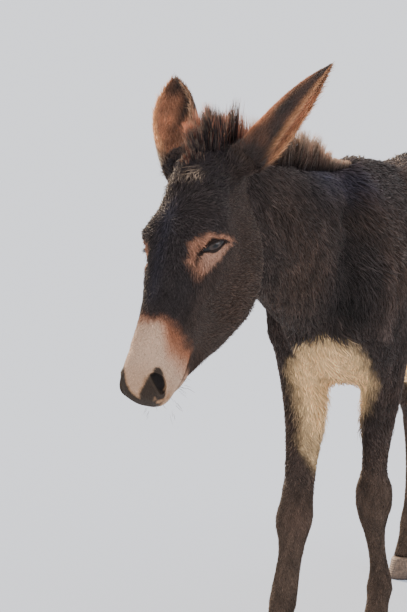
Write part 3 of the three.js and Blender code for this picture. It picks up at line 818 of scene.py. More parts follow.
def markings_and_painted_light(points, normals, weights):
    """The coat's colour at places on the animal, by its normals and regions, with painted shade, a painted
    highlight and a painted sky reflection.
    """
    own = points - SHIFT
    share = dict(zip(REGIONS, weights.T))
    legs = legs_of(share)
    colour = np.tile(BROWN_BLACK, (len(points), 1))
    colour = blend(colour, WARM_BROWN, 0.35 + 0.35 * waves(points, 0.25, 21))
    colour = blend(colour, LEG_BROWN, step(0.46, 0.30, own[:, 2]) * legs)
    right_knee = bump(own * [1, 1, 0.7], np.array([-0.033, -0.49, 0.215]), 0.035)
    colour = blend(colour, KNEE_BROWN, 0.18 * right_knee * legs)
    left_knee = ridge(own, (0.09, -0.40, 0.34), (0.09, -0.40, 0.30), 0.05)
    colour = blend(colour, KNEE_BROWN, 0.5 * left_knee * legs)
    # Darker along the groove in front of the shoulder: partly a darker coat, partly painted shade in the
    # crease.
    groove = np.max([ridge(own, a, b, 0.035) for a, b in zip(GROOVE[:-1], GROOVE[1:])], axis=0)
    colour = colour * (1 - 0.55 * groove * (share["neck"] + share["trunk"]))[:, None]
    # A painted highlight along the front edge of the left shoulder, over a streaky tone of the coat.
    upper, middle, lower = SHOULDER_EDGE
    edge = np.maximum(ridge(own, upper, middle, 0.011), ridge(own, middle, lower, 0.011))
    colour = colour * (1 + 2.0 * edge + 0.22 * waves(own * [1.8, 1, 0.6], 0.035, 24))[:, None]
    # Painted reflection: a bluish sky sheen along the top of the neck.
    neck_top_sky_reflection = ridge(own, (-0.010, -0.44, 1.05), (0.042, -0.34, 1.045), 0.05)
    colour = blend(colour, SKY_SHEEN_BLUE, 0.34 * neck_top_sky_reflection * (1 - share["head"]))
    # Painted shade over the top of the breast, above the pale patch.
    breast_top_shade = ridge(own, (-0.03, -0.46, 0.765), (0.07, -0.45, 0.755), 0.055)
    colour = colour * (1 - 0.45 * breast_top_shade)[:, None]
    # The pale parts in cream, painted brighter than their own colour as glow.
    colour = blend(colour, CREAM_WITH_GLOW, pale_parts(points, normals, share))
    place = to_head(points)
    heads = step(0.3, 0.6, share["head"])
    return colour + heads[:, None] * (head_markings_and_sheen(place, colour) - colour)


# ---- Lie of the coat ----
def lie_of_coat(points, normals, weights):
    """The way the hair lies: a unit tangent at each place."""
    own = points - SHIFT
    place = to_head(points)
    share = dict(zip(REGIONS, weights.T))
    from_whorl = unit((place - WHORL) * [1, 1, 0.7])
    cheek = step(-0.055, -0.12, place[:, 2]) * step(-0.43, -0.33, place[:, 1])
    on_head = from_whorl + cheek[:, None] * (np.array([0, 0.45, -0.85]) - from_whorl)
    muzzle = step(-0.36, -0.44, place[:, 1])
    on_head = on_head + muzzle[:, None] * (np.array([0, -0.75, -0.55]) - on_head)
    flow = share["head"][:, None] * (unit(on_head) @ HEAD_AXES.T)
    flow = flow + share["neck"][:, None] * np.array([0.0, 0.62, -0.78])
    backward = share["trunk"] + 0.6 * share["thigh"] + 0.4 * share["forearm"]
    flow = flow + backward[:, None] * np.array([0, 0.86, -0.5])
    downward = share["cannon"] + share["forearm"] + share["thigh"] + share["tail"]
    flow = flow + downward[:, None] * np.array([0, 0.1, -1])
    breast = share["trunk"] * step(-0.30, -0.42, own[:, 1])
    apart = np.column_stack([0.5 * np.sign(own[:, 0]), np.zeros(len(own)), -np.ones(len(own))])
    flow = flow + (1.2 * breast)[:, None] * apart
    flow = flow - dots(flow, normals)[:, None] * normals
    flow = unit(flow + 1e-4 * np.cross(normals, [1, 0, 0]))
    turn = 0.20 * waves(points, 0.11, 31) + 0.16 * waves(points, 0.045, 32)
    return turned_in_plane(flow, normals, turn)


def turned_in_plane(flow, normals, angle):
    """Tangents turned by an angle about the normals."""
    cross = np.cross(normals, flow)
    return np.cos(angle)[:, None] * flow + np.sin(angle)[:, None] * cross


# ---- Coat ----
class Hide:
    """A surface for hair to grow on: arrays over its points, and its triangles."""

    def __init__(self, points, normals, triangles, **fields):
        self.triangles = triangles
        self.fields = {"points": points, "normals": normals, **fields}

    def scatter(self, count, density):
        """Roots spread over the surface by its area and the density, with every field at each root."""
        corners = self.fields["points"][self.triangles]
        across, along = corners[:, 1] - corners[:, 0], corners[:, 2] - corners[:, 0]
        area = np.linalg.norm(np.cross(across, along), axis=1)
        total = np.cumsum(area * density[self.triangles].mean(1))
        picks = np.searchsorted(total, (np.arange(count) + rng.random(count)) / count * total[-1])
        first, second = rng.random((2, count))
        over = first + second > 1
        first, second = np.where(over, 1 - first, first), np.where(over, 1 - second, second)
        shares = np.stack([1 - first - second, first, second], 1)
        chosen = self.triangles[np.minimum(picks, len(self.triangles) - 1)]
        made = {}
        for name, field in self.fields.items():
            values = field[chosen]
            made[name] = (values * (shares if field.ndim == 1 else shares[..., None])).sum(1)
        return made


# Stages along a tuft or a lock: share of the length, share of the width.
SPIKE = [(0, 1.0), (1, 0)]
BENT = [(0, 0.7), (0.45, 1.0), (1, 0)]
LONG = [(0, 0.9), (0.55, 1.0), (1, 0)]

ROOT_DEPTH = 0.0004  # how far a root is sunk in the skin
ROOT_RISE = 0.0009  # how far a tuft stands off the skin a third of the way along
TUFT_THICK = 0.8  # thickness of a tuft for half its width
UNWRAP_SPREAD = 0.003  # a tuft's size in the unwrap


def hair_mesh(
    name, root, normal, flow, length, width, *, lift, sag, curl, colour, tip_colour, place, stages, turn=0.8
):
    """Closed, tapered locks: each rises from its root by lift, falls back by sag and bends aside by curl."""
    count = len(root)
    normal, flow = unit(normal), unit(flow - dots(flow, normal)[:, None] * normal)
    across = np.cross(normal, flow)
    rings, colours, places = [], [], []
    span = 3 * (len(stages) - 1) + 1
    for t, wide in stages:
        up = length * (lift * t - sag * t * t)
        forth = length * t
        aside = length * curl * t * t
        raised = up - ROOT_DEPTH + ROOT_RISE * min(3 * t, 1)
        middle = root + forth[:, None] * flow + raised[:, None] * normal + aside[:, None] * across
        tint = colour + t**turn * (tip_colour - colour)
        half = (0.5 * width * wide)[:, None]
        corners = [middle - half * across, middle + half * across, middle + TUFT_THICK * half * normal]
        for k, corner in enumerate(corners if wide > 0 else [middle]):
            rings.append(corner)
            colours.append(tint)
            places.append(place + UNWRAP_SPREAD * np.array([k / 2 - 0.5, t - 0.5]))
    points = np.stack(rings, 1).reshape(-1, 3)
    tints = np.stack(colours, 1).reshape(-1, 3)
    unwrap = np.stack(places, 1).reshape(-1, 2)
    pattern = [(0, 1, 2)]
    for ring in range(len(stages) - 2):
        for k in range(3):
            a, b = 3 * ring + k, 3 * ring + (k + 1) % 3
            pattern += [(a, a + 3, b), (b, a + 3, b + 3)]
    last = 3 * (len(stages) - 2)
    pattern += [(last + k, span - 1, last + (k + 1) % 3) for k in range(3)]
    triangles = (np.array(pattern)[None] + span * np.arange(count)[:, None, None]).reshape(-1, 3)
    mesh = mesh_from(name, points, triangles)
    paint(mesh, tints)
    layer = mesh.uv_layers.new(name="OFBake")
    layer.data.foreach_set("uv", np.clip(unwrap, 0, 1)[triangles.ravel()].astype(np.float32).ravel())
    return mesh


def paint(mesh, colours):
    """Gives the mesh its coat colours."""
    layer = mesh.color_attributes.new("coat_colour", "FLOAT_COLOR", "POINT")
    opaque = np.column_stack([colours, np.ones(len(colours))])
    layer.data.foreach_set("color", opaque.astype(np.float32).ravel())


def grow(name, hide, count, density, stages, mottle, sag=1.0):
    """One piece of the coat: tufts over the hide, with shades that differ by mottle."""
    root = hide.scatter(count, density)
    colour = root["colour"] * np.exp(rng.normal(0, mottle, (count, 1)))
    flow = turned_in_plane(root["flow"], unit(root["normals"]), rng.normal(0, 0.16, count))
    return hair_mesh(
        name,
        root["points"],
        root["normals"],
        flow,
        root["length"] * np.exp(rng.normal(0, 0.25, count)),
        root["width"] * np.exp(rng.normal(0, 0.2, count)),
        lift=root["lift"] * rng.uniform(0.6, 1.5, count),
        sag=root["lift"] * sag * rng.uniform(0.5, 1.1, count),
        curl=rng.normal(0, 0.14, count),
        colour=colour * 0.7,
        tip_colour=colour * 1.15,
        place=root["unwrap"],
        stages=stages,
    )


# ---- Materials ----
class Value:
    """A shader value that plain sums can be written with."""

    def __init__(self, shader, socket):
        self.shader = shader
        self.socket = socket

    def math(self, operation, first, second):
        return self.shader.node("ShaderNodeMath", {"operation": operation}, {0: first, 1: second})

    def __add__(self, other):
        return self.math("ADD", self, other)

    def __radd__(self, other):
        return self.math("ADD", other, self)

    def __sub__(self, other):
        return self.math("SUBTRACT", self, other)

    def __rsub__(self, other):
        return self.math("SUBTRACT", other, self)

    def __mul__(self, other):
        return self.math("MULTIPLY", self, other)

    def __rmul__(self, other):
        return self.math("MULTIPLY", other, self)

    def __pow__(self, other):
        return self.math("POWER", self, other)

    def sine(self):
        return self.shader.node("ShaderNodeMath", {"operation": "SINE"}, {0: self})

    def between(self, low, high):
        """0 below low, 1 above high and smooth between."""
        settings = {"interpolation_type": "SMOOTHSTEP"}
        return self.shader.node("ShaderNodeMapRange", settings, {0: self, 1: low, 2: high})


class Finish:
    """A material in the making."""

    def __init__(self, name, **constants):
        self.material = bpy.data.materials.new(name)
        self.material.use_nodes = True
        self.tree = self.material.node_tree
        self.surface = self.tree.nodes["Principled BSDF"]
        for socket, value in constants.items():
            self.surface.inputs[socket.replace("_", " ")].default_value = value

    def node(self, kind, settings=None, inputs=None, output=0):
        """Adds a node with its settings and its inputs, each a number, a colour or another value."""
        made = self.tree.nodes.new(kind)
        for key, value in (settings or {}).items():
            setattr(made, key, value)
        for key, value in (inputs or {}).items():
            if isinstance(value, Value):
                self.tree.links.new(value.socket, made.inputs[key])
            else:
                made.inputs[key].default_value = value
        return Value(self, made.outputs[output])

    def noise(self, scale, detail, stretch=(1, 1, 1)):
        place = self.node("ShaderNodeTexCoord", output="Object")
        place = self.node("ShaderNodeVectorMath", {"operation": "MULTIPLY"}, {0: place, 1: stretch})
        return self.node("ShaderNodeTexNoise", {}, {"Vector": place, "Scale": scale, "Detail": detail})

    def attribute(self, name, output="Fac"):
        return self.node("ShaderNodeAttribute", {"attribute_name": name}, output=output)

    def scaled(self, colour, factor):
        return self.node("ShaderNodeVectorMath", {"operation": "SCALE"}, {0: colour, "Scale": factor})

    def mixed(self, first, second, factor):
        return self.node("ShaderNodeMix", {"data_type": "RGBA"}, {0: factor, 6: first, 7: second}, output=2)

    def bump(self, height, distance, strength):
        return self.node("ShaderNodeBump", {}, {"Height": height, "Distance": distance, "Strength": strength})

    def set(self, **links):
        for socket, value in links.items():
            self.tree.links.new(value.socket, self.surface.inputs[socket.replace("_", " ")])
        return self.material


def coat_finish():
    """Fur: the colour painted on the coat, with its painted shade, highlights and glow, broken up a little,
    and a soft sheen.
    """
    sheen = {"Sheen_Weight": 0.05, "Sheen_Roughness": 0.4, "Sheen_Tint": (1.0, 0.86, 0.74, 1)}
    made = Finish("coat", Specular_IOR_Level=0.2, **sheen)
    patches = made.noise(14, 2)
    colour = made.scaled(made.attribute("coat_colour", "Color"), 0.7 + 0.6 * patches)
    rough = 0.5 + 0.3 * made.noise(40, 2)
    return made.set(Base_Color=colour, Roughness=rough)


def skin_finish():
    """Skin and its shortest hair, which lies too close to stand out."""
    made = Finish("skin", Specular_IOR_Level=0.15)
    grain = made.noise(900, 2, (1.0, 0.5, 0.4))
    colour = made.scaled(made.attribute("coat_colour", "Color"), 0.6 + 0.6 * grain)
    rough = 0.55 + 0.25 * made.noise(60, 2)
    height = grain + 0.5 * made.noise(260, 2)
    return made.set(Base_Color=colour, Roughness=rough, Normal=made.bump(height, 0.0006, 0.8))


def eye_finish():
    """A dark brown eye with a broad pupil under a wet surface."""
    made = Finish("eye", Roughness=0.09, Specular_IOR_Level=0.3)
    iris, pupil = made.attribute("iris"), made.attribute("pupil")
    rays = made.noise(700, 3)
    brown = made.mixed((*shade(40, 31, 27), 1), (*shade(78, 63, 55), 1), rays)
    white = made.mixed((*shade(16, 12, 12), 1), brown, iris)
    colour = made.mixed(white, (*shade(10, 9, 12), 1), pupil)
    return made.set(Base_Color=colour)


def horn_finish():
    """Hoof horn with growth rings, paler below the coronet and scuffed at the ground."""
    made = Finish("horn", Specular_IOR_Level=0.4)
    level = made.attribute("level")
    rings = (level * 62 + 5 * made.noise(18, 2)).sine()
    fibres = made.noise(240, 3, (1, 1, 0.08))
    horn = made.mixed((*shade(92, 76, 64), 1), (*shade(138, 116, 98), 1), fibres.between(0.3, 0.7))
    colour = made.mixed(horn, (*shade(74, 62, 54), 1), (1 - level) ** 4 + 0.12 * rings + 0.1)
    height = 0.5 * rings + fibres
    return made.set(Base_Color=colour, Roughness=0.55 + 0.25 * fibres, Normal=made.bump(height, 0.0008, 0.7))


# ---- Camera, floor and light ----
def set_camera():
    data = bpy.data.cameras.new("camera")
    data.lens = 117.65
    data.sensor_width = 36
    made = add_object("camera", data)
    made.location = Vector((1.4442, -4.5097, 1.085)) + Vector(SHIFT)
    made.rotation_euler = (math.radians(90 - 4.175), 0, math.radians(23))
    data.clip_end = 200
    bpy.context.scene.camera = made


def add_floor():
    half = 90
    corners = half * np.array([[-1, -1, 0], [1, -1, 0], [1, 1, 0], [-1, 1, 0]])
    mesh = mesh_from("floor", corners, np.array([[0, 1, 2], [0, 2, 3]]))
    floor = add_object("floor", mesh)
    finish = Finish("floor", Base_Color=(0.56, 0.63, 0.73, 1), Roughness=0.9, Specular_IOR_Level=0)
    mesh.materials.append(finish.material)


def light_scene():
    """A pale studio all round and one warm, low light from behind the animal's right shoulder."""
    world = bpy.data.worlds.new("studio")
    world.use_nodes = True
    background = world.node_tree.nodes["Background"]
    background.inputs["Color"].default_value = (0.92, 0.94, 1.0, 1)
    background.inputs["Strength"].default_value = 1.45
    bpy.context.scene.world = world

    data = bpy.data.lights.new("warm_light", "SUN")
    data.energy = 8.0
    data.angle = math.radians(7)
    data.color = (1.0, 0.76, 0.52)
    lamp = add_object("warm_light", data)
    lamp.rotation_euler = Vector((0.74, -0.56, -0.42)).to_track_quat("-Z", "Y").to_euler()

    data = bpy.data.lights.new("fill_light", "AREA")
    data.shape = "DISK"
    data.size = 2.0
    data.energy = 34
    data.color = (0.86, 0.93, 1.0)
    lamp = add_object("fill_light", data)
    lamp.location = (3.9, -1.1, 2.6)
    lamp.rotation_euler = (Vector((0, -0.5, 0.9)) - lamp.location).to_track_quat("-Z", "Y").to_euler()


# ---- The coat of the body ----
# Lines that an unwrap goes round, the head's in its own frame: a point on it, its start and its end.
HEAD_LINE = np.array([[0, 0, -0.11], [0, 0.05, -0.1], [0, -0.56, -0.1]])
BODY_LINE = np.array([[0, 0, 0.83], [0, -0.75, 0.83], [0, 0.62, 0.83]])

# Longer hair inside the tops of the forelegs: start, end, radius.
FLUFF = [
    ((-0.038, -0.350, 0.610), (-0.034, -0.362, 0.520), 0.035),
    ((-0.020, -0.330, 0.620), (0.045, -0.320, 0.610), 0.030),
    ((0.052, -0.322, 0.590), (0.045, -0.300, 0.500), 0.022),
]


def in_margins(values):
    """Unwrap values of 0 to 1 kept a little off the edges."""
    return 0.02 + 0.96 * values


def unwrap_round(points, centre, axis_start, axis_end):
    """A cylinder's unwrap: the turn round an axis and the share of the way along it."""
    axis = unit(np.subtract(axis_end, axis_start))
    first = unit(np.cross(axis, [0.3, 1, 0.2]))
    offset = points - centre
    turn = np.arctan2(offset @ np.cross(axis, first), offset @ first) / (2 * math.pi) + 0.5
    along = (points - axis_start) @ axis / np.linalg.norm(np.subtract(axis_end, axis_start))
    return np.stack([in_margins(turn), in_margins(np.clip(along, 0, 1))], 1)


def near_lids(place, wide, narrow):
    """1 within narrow of the slits of the eyes and 0 outside wide, in metres over the eyeball."""
    made = np.zeros(len(place))
    for side in (1, -1):
        far, along, across, _ = slit_angles(place, side)
        made = np.maximum(made, step(wide, narrow, lid_width(along, across)) * (far < 0.045))
    return made


def dress_skin(mesh):
    """The body's hide: what a coat needs to know at each point of the skin."""
    points, normals = vertices_of(mesh), normals_of(mesh)
    weights = region_weights(mesh, 14)
    share = dict(zip(REGIONS, weights.T))
    colour = markings_and_painted_light(points, normals, weights)
    paint(mesh, colour * SKIN_SHADE)
    own, place = points - SHIFT, to_head(points)
    back, up = place[:, 1], place[:, 2]
    muzzle = share["head"] * step(-0.30, -0.46, back)
    top = share["head"] * step(-0.10, 0.0, back) * step(-0.10, -0.03, up)
    brow = share["head"] * step(-0.07, -0.03, up) * step(-0.30, -0.22, back)
    crown = np.maximum(top, brow)
    jaw = share["head"] * step(-0.105, -0.150, up) * step(-0.46, -0.42, back)
    eyes = on_both(place, EYE, 0.045)
    lids = near_lids(place, 0.020, 0.010)
    breast = share["trunk"] * step(-0.30, -0.42, own[:, 1]) + bump(own, np.array([0, -0.3, 0.64]), 0.12)
    foreleg = share["forearm"] * step(0.52, 0.40, own[:, 2])
    spine = share["trunk"] * step(0.5, 0.9, normals[:, 2])
    fluff = np.max([ridge(own, start, end, radius) for start, end, radius in FLUFF], axis=0)
    cream = step(0.2, 0.6, colour[:, 0] * (1 - share["head"]))
    length = weights @ LENGTHS * (1 - 0.55 * muzzle) * (1 + 0.8 * top + 0.5 * brow)
    length = length * (1 - 0.55 * eyes) * (1 - 0.5 * lids)
    length = length * (1 + 0.15 * np.clip(breast, 0, 1)) * (1 - 0.45 * foreleg)
    length = length * (1 + 0.6 * jaw + 0.8 * fluff + 0.25 * spine)
    width = weights @ WIDTHS * (1 - 0.45 * muzzle) * (1 - 0.35 * eyes) * (1 + 0.5 * crown)
    width = width * (1 - 0.45 * cream)
    lift = weights @ LIFTS * (1 - 0.4 * muzzle) * (1 + 0.8 * crown)
    lift = lift * (1 + 1.0 * jaw + 1.3 * fluff + 0.8 * spine)
    hide = Hide(
        points,
        normals,
        triangles_of(mesh),
        colour=colour,
        flow=smoothed(lie_of_coat(points, normals, weights), edges_of(mesh), 0.5, 12),
        length=length,
        width=width,
        lift=lift,
        unwrap=np.zeros((len(points), 2)),
    )
    return hide, share, place, own


def bare_places(place):
    """Where no hair grows: between the lids, in the nostrils and along the mouth."""
    bare = near_lids(place, 0.0080, 0.0066)
    for side in (1, -1):
        hole, deep, _ = nostril_reach(place, side)
        bare = np.maximum(bare, (hole < 1.25) * (np.abs(deep) < NOSTRIL_NEAR))
    x, y, z = place.T
    level = np.abs(z - mouth_level(y)) < 0.004
    return np.maximum(bare, level * (y < MOUTH_CORNER[0]) * (y > -0.6) * (np.abs(x) < 0.08))


def make_coat(hide, share, place, own, material):
    """The coat in pieces, each over one part of the body."""
    haired = 1 - bare_places(place)
    in_face = place[:, 1] > -0.30
    left, right = own[:, 0] > 0, own[:, 0] <= 0
    head_unwrap = unwrap_round(place, *HEAD_LINE)
    body_unwrap = unwrap_round(own, *BODY_LINE)
    # Name, number of tufts, where they grow, stages along a tuft, unwrap.
    pieces = [
        ("coat_face", 19800, (share["head"] + share["ear"]) * haired * in_face, BENT, head_unwrap),
        ("coat_muzzle", 24000, share["head"] * haired * ~in_face, SPIKE, head_unwrap),
        ("coat_neck", 18500, share["neck"], BENT, body_unwrap),
        ("coat_trunk_left", 17000, share["trunk"] * left, BENT, body_unwrap),
        ("coat_trunk_right", 14000, share["trunk"] * right, BENT, body_unwrap),
        ("coat_tail", 1500, share["tail"], BENT, body_unwrap),
    ]
    front = own[:, 1] < 0.05
    for end, at_end, region, count, stages in (
        ("fore", front, "forearm", 7500, BENT),
        ("hind", ~front, "thigh", 12000, SPIKE),
    ):
        for side, at_side in (("left", left), ("right", right)):
            chosen = at_side & at_end
            middle = own[chosen & (own[:, 2] < 0.5)].mean(0)
            sole = middle * [1, 1, 0]
            unwrap = unwrap_round(own, middle, sole, sole + [0, 0, 0.9])
            pieces.append((f"coat_{end}_leg_{side}", count, share[region] * chosen, stages, unwrap))
            pieces.append((f"coat_{end}_cannon_{side}", 9000, share["cannon"] * chosen, SPIKE, unwrap))
    for name, count, density, stages, unwrap in pieces:
        hide.fields["unwrap"] = unwrap
        mesh = grow(name, hide, count, np.clip(density, 0, 1) ** 2, stages, mottle=0.3)
        add_piece(name, mesh, material)


def ear_markings_and_glow(points, side, share, turn, inside, rim):
    """An ear's colour: rusty down the back and inside, with a pale rim, a dark band and a dark tip; the
    inside is brightened as a painted glow of backlit hair, the rim as painted rim light, and the far ear's
    rim is dimmed as painted shade on one edge.
    """
    spine = step(0.62, 0.10, np.abs(turn))
    patch = 0.25 * waves(points, 0.05, 41)
    colour = np.tile(WARM_BROWN, (len(points), 1))
    colour = blend(colour, BROWN_BLACK, 0.8 * step(0.30, 0.05, share))
    rusty = (0.06 + 0.90 * spine + 0.4 * patch) * (1 - inside) * step(-0.05, 0.25, share)
    colour = blend(colour, EAR_BACK, rusty)
    # Painted glow: the inside is warmer and brighter towards one wall, as backlit hair glows.
    warm = (0.36 + patch + 0.8 * turn * side - 0.2 * step(0.65, 0.2, share)) * step(0.02, 0.25, share)
    colour = blend(colour, EAR_INSIDE_GLOW, inside * warm * (1 - 0.5 * step(0.70, 0.95, share)))
    band = step(0.52, 0.70, -turn * side) * step(0.94, 0.86, -turn * side) * step(0.1, 0.3, share)
    colour = blend(colour, BROWN_BLACK, 0.75 * band)
    # Painted rim light round the edge, dimmed as painted shade on one edge of the far ear.
    shaded = 0.8 * step(0.0, -0.9, turn * side) if side < 0 else 0.0
    colour = blend(colour, EAR_RIM_LIT, 0.85 * rim * step(0.0, 0.2, share) * (1 - shaded))
    return blend(colour, BROWN_BLACK, 0.6 * step(0.72, 0.92, share) * (1 - rim))


def make_ears(skin_material, coat_material):
    """Each ear's shell and its hair: short outside, longer and paler round the rim and inside."""
    shells = []
    for name, (side, along, opening) in EARS.items():
        points, triangles, share, turn, inside, axis = ear_shell(side, along, opening)
        mesh = mesh_from(f"ear_skin_{name}", points, triangles)
        normals = normals_of(mesh)
        rim = step(0.91, 0.99, np.abs(turn))
        colour = ear_markings_and_glow(points, side, share, turn, inside, rim)
        paint(mesh, colour * EAR_SHADE)
        mesh.materials.append(skin_material)
        shells.append(add_object(f"ear_skin_{name}", mesh))
        length = 0.0070 + 0.0045 * inside + 0.0035 * rim
        round_ear = 0.02 + 0.47 * (turn + 1) / 2 + 0.49 * inside
        hide = Hide(
            points,
            normals,
            triangles,
            colour=colour,
            flow=np.tile(axis, (len(points), 1)) + (0.5 * rim)[:, None] * normals,
            length=length * (1 - 0.35 * step(0.8, 1.0, share) + 0.7 * step(0.3, 0.0, share)),
            width=np.full(len(points), 0.0014),
            lift=0.22 + 0.3 * rim + 0.2 * inside,
            unwrap=np.stack([round_ear, in_margins(share)], 1),
        )
        density = 0.9 - 0.35 * inside + 1.0 * rim
        mesh = grow(f"coat_ear_{name}", hide, 16000, density, SPIKE, mottle=0.25, sag=0.4)
        add_piece(f"coat_ear_{name}", mesh, coat_material)
    return shells


# ---- Long hair ----
# Crest from the withers to the poll in the animal's own frame: x, y, z and the hair's share of full height.
CREST = np.array(
    [
        [0.000, -0.310, 1.080, 0.06],
        [-0.016, -0.380, 1.076, 0.20],
        [-0.028, -0.425, 1.076, 0.50],
        [-0.042, -0.470, 1.076, 0.90],
        [-0.068, -0.550, 1.080, 1.06],
        [-0.100, -0.640, 1.088, 1.10],
        [-0.126, -0.705, 1.092, 1.15],
        [-0.142, -0.772, 1.086, 1.15],
    ]
)
MANE_HEIGHT = 0.092
MANE_ROOT = 0.014  # how deep the mane is rooted under the crest's top
# Stations of the forelock from the poll to the forehead in the head's frame, and its height at each.
FORELOCK_RIDGE = np.array([[0, 0.048, -0.064], [0, 0.024, -0.026], [0, -0.004, -0.006], [0, -0.036, 0.002]])
FORELOCK_TALL = np.array([0.098, 0.096, 0.050, 0.022])
FORELOCK_ROOT = 0.012


def along_line(line, share):
    """Points at shares of the way through the rows of a line."""
    at = share * (len(line) - 1)
    return np.stack([np.interp(at, np.arange(len(line)), column) for column in line.T], -1)


def clumped(count, clumps, root_at, tip_at, gather, spread, shortest=0.55):
    """Roots and tips of hairs in clumps, each drawn to a point by gather, and the clump's random tone."""
    home = (np.arange(clumps) + rng.random(clumps)) / clumps
    aside = rng.normal(0, 1, clumps)
    lean = rng.normal(0, 1, (clumps, 3))
    tall = rng.uniform(shortest, 1.03, clumps)
    tone = rng.random(clumps)
    pick = rng.integers(0, clumps, count)
    share = np.clip(home[pick] + rng.normal(0, spread, count), 0, 1)
    roots = root_at(share, aside[pick] + rng.normal(0, 0.45, count))
    tips = tip_at(roots, share, lean[pick], tall[pick] * rng.uniform(0.75, 1.0, count))
    points = tip_at(root_at(home, aside), home, lean, tall)
    tips = tips + gather * rng.uniform(0.6, 1.0, (count, 1)) * (points[pick] - tips)
    return roots, tips, tone[pick]


def hair_between(name, roots, tips, width, colour, tip_colour, place, bow=0.08):
    """Locks from given roots to given tips, a little bowed."""
    reach = tips - roots
    flow = unit(reach)
    normal = unit(np.cross(flow, unit(rng.normal(size=reach.shape))))
    lift = rng.normal(0, bow, len(roots))
    return hair_mesh(
        name,
        roots,
        normal,
        flow,
        np.linalg.norm(reach, axis=1),
        width,
        lift=lift,
        sag=lift,
        curl=rng.normal(0, bow * 0.7, len(roots)),
        colour=colour,
        tip_colour=tip_colour,
        place=place,
        stages=LONG,
        turn=2.4,
    )


def hair_piece(name, roots, tips, width, material, tone, pale):
    """A piece of long hair, dark at the root, rusty at the tip by its tone and paler still by pale, partly a
    painted sunlit rim.
    """
    count = len(roots)
    mix = np.clip(0.05 + 0.65 * tone + rng.normal(0, 0.2, count), 0, 1)
    pale = np.clip(pale + rng.normal(0, 0.2, count), 0, 1)
    shades = np.exp(rng.normal(0, 0.2, (count, 1)))
    widths = width * rng.uniform(0.7, 1.3, count)
    dark = np.tile(HAIR_DARK, (count, 1))
    light = blend(blend(dark, HAIR_RUST, mix), HAIR_PALE_SUNLIT, pale)
    low, high = roots.min(0), roots.max(0)
    place = in_margins(((roots - low) / (high - low + 1e-6))[:, 1:])
    mesh = hair_between(name, roots, tips, widths, dark * shades * 0.8, light * shades, place)
    return add_piece(name, mesh, material)


def make_mane(material):
    """The upright mane in pointed clumps, dark at the root and rusty at the tip."""

    def root_at(share, aside):
        over = 0.0075 * aside
        sunk = np.column_stack([over, np.zeros(len(over)), -MANE_ROOT - 3 * over**2])
        return along_line(CREST, share)[:, :3] + SHIFT + sunk

    def tip_at(roots, share, lean, tall):
        line = along_line(CREST, share)
        out = roots[:, 0] - line[:, 0] - SHIFT[0]
        height = MANE_HEIGHT * line[:, 3] * tall + MANE_ROOT
        upward = np.column_stack([12 * out + 0.13 * lean[:, 0], 0.24 * lean[:, 1] + 0.05, np.ones(len(out))])
        return roots + unit(upward) * height[:, None]

    roots, tips, tone = clumped(7600, 180, root_at, tip_at, 0.6, 0.02, 0.64)
    between_ears = step(-0.60, -0.70, roots[:, 1] - SHIFT[1])
    tone = tone + 0.4 * between_ears
    # The mane's pale tips are partly its own colour and partly a painted sunlit rim.
    return hair_piece("mane", roots, tips, 0.0013, material, tone, 0.58 - 0.48 * between_ears)


def make_forelock(material):
    """Hair that stands between the ears and falls short over the forehead."""

    def root_at(share, aside):
        line = along_line(FORELOCK_RIDGE, share)
        sunk = np.column_stack([0.012 * aside, np.zeros(len(aside)), -0.010 - 0.003 * aside**2])
        return from_head(line + sunk)

    def tip_at(roots, share, lean, tall):
        aside = to_head(roots)[:, 0] / 0.03
        height = along_line(FORELOCK_TALL[:, None], share)[:, 0] * tall
        height = height * (1 + 0.38 * step(0.2, 0.9, np.abs(aside))) + FORELOCK_ROOT
        leftward = -0.05 + 0.24 * aside + 0.15 * lean[:, 0]
        upward = np.column_stack([leftward, -0.2 + 0.26 * lean[:, 1], np.ones(len(aside))])
        return roots + unit(upward) * height[:, None]

    roots, tips, tone = clumped(3600, 72, root_at, tip_at, 0.58, 0.03)
    across, back, _ = to_head(roots).T
    rear = step(-0.004, 0.030, back)
    outer = step(0.002, -0.012, across) * rear
    core = step(-0.006, 0.002, across) * step(0.034, 0.020, across)
    tone = np.clip(tone * (0.2 + 0.8 * rear) + 0.9 * outer - 0.9 * core, -0.3, 1.6)
    return hair_piece("forelock", roots, tips, 0.0014, material, tone, 0.05 * outer)


def make_fringe(hide, material):
    """Short, curling hair over the top of the forehead, with pale tips that are partly their own colour and
    partly painted highlights.
    """
    count = 2000
    x, y, z = to_head(hide.fields["points"]).T
    density = step(-0.075, -0.03, y) * step(0.05, 0.02, y) * step(-0.10, -0.04, z)
    density = density * step(0.085, 0.05, np.abs(x + 0.012))
    root = hide.scatter(count, density)
    place = to_head(root["points"])
    # Pale tips, partly their own colour and partly painted sunlit highlights.
    light = 0.5 * ridge(place, (-0.040, -0.050, -0.005), (0.040, -0.040, 0.0), 0.009)
    light = (light + 0.9 * bump(place, np.array([0.030, -0.040, 0.0]), 0.013)) * rng.uniform(0, 1, count)
    stray = np.stack([waves(root["points"], 0.05, seed) for seed in (51, 52, 53)], 1)
    flow = np.tile(HEAD_AXES @ np.array([-0.35, -1.0, 0.25]), (count, 1)) + 0.7 * stray
    mesh = hair_mesh(
        "fringe",
        root["points"],
        root["normals"],
        flow,
        rng.uniform(0.018, 0.036, count),
        np.full(count, 0.0015),
        lift=rng.uniform(0.5, 0.9, count),
        sag=rng.uniform(0.6, 0.9, count),
        curl=rng.normal(0, 0.45, count),
        colour=np.tile(HAIR_DARK, (count, 1)),
        tip_colour=blend(np.tile(HAIR_DARK * 1.3, (count, 1)), HAIR_PALE_SUNLIT, light),
        place=root["unwrap"],
        stages=LONG,
    )
    add_piece("fringe", mesh, material)


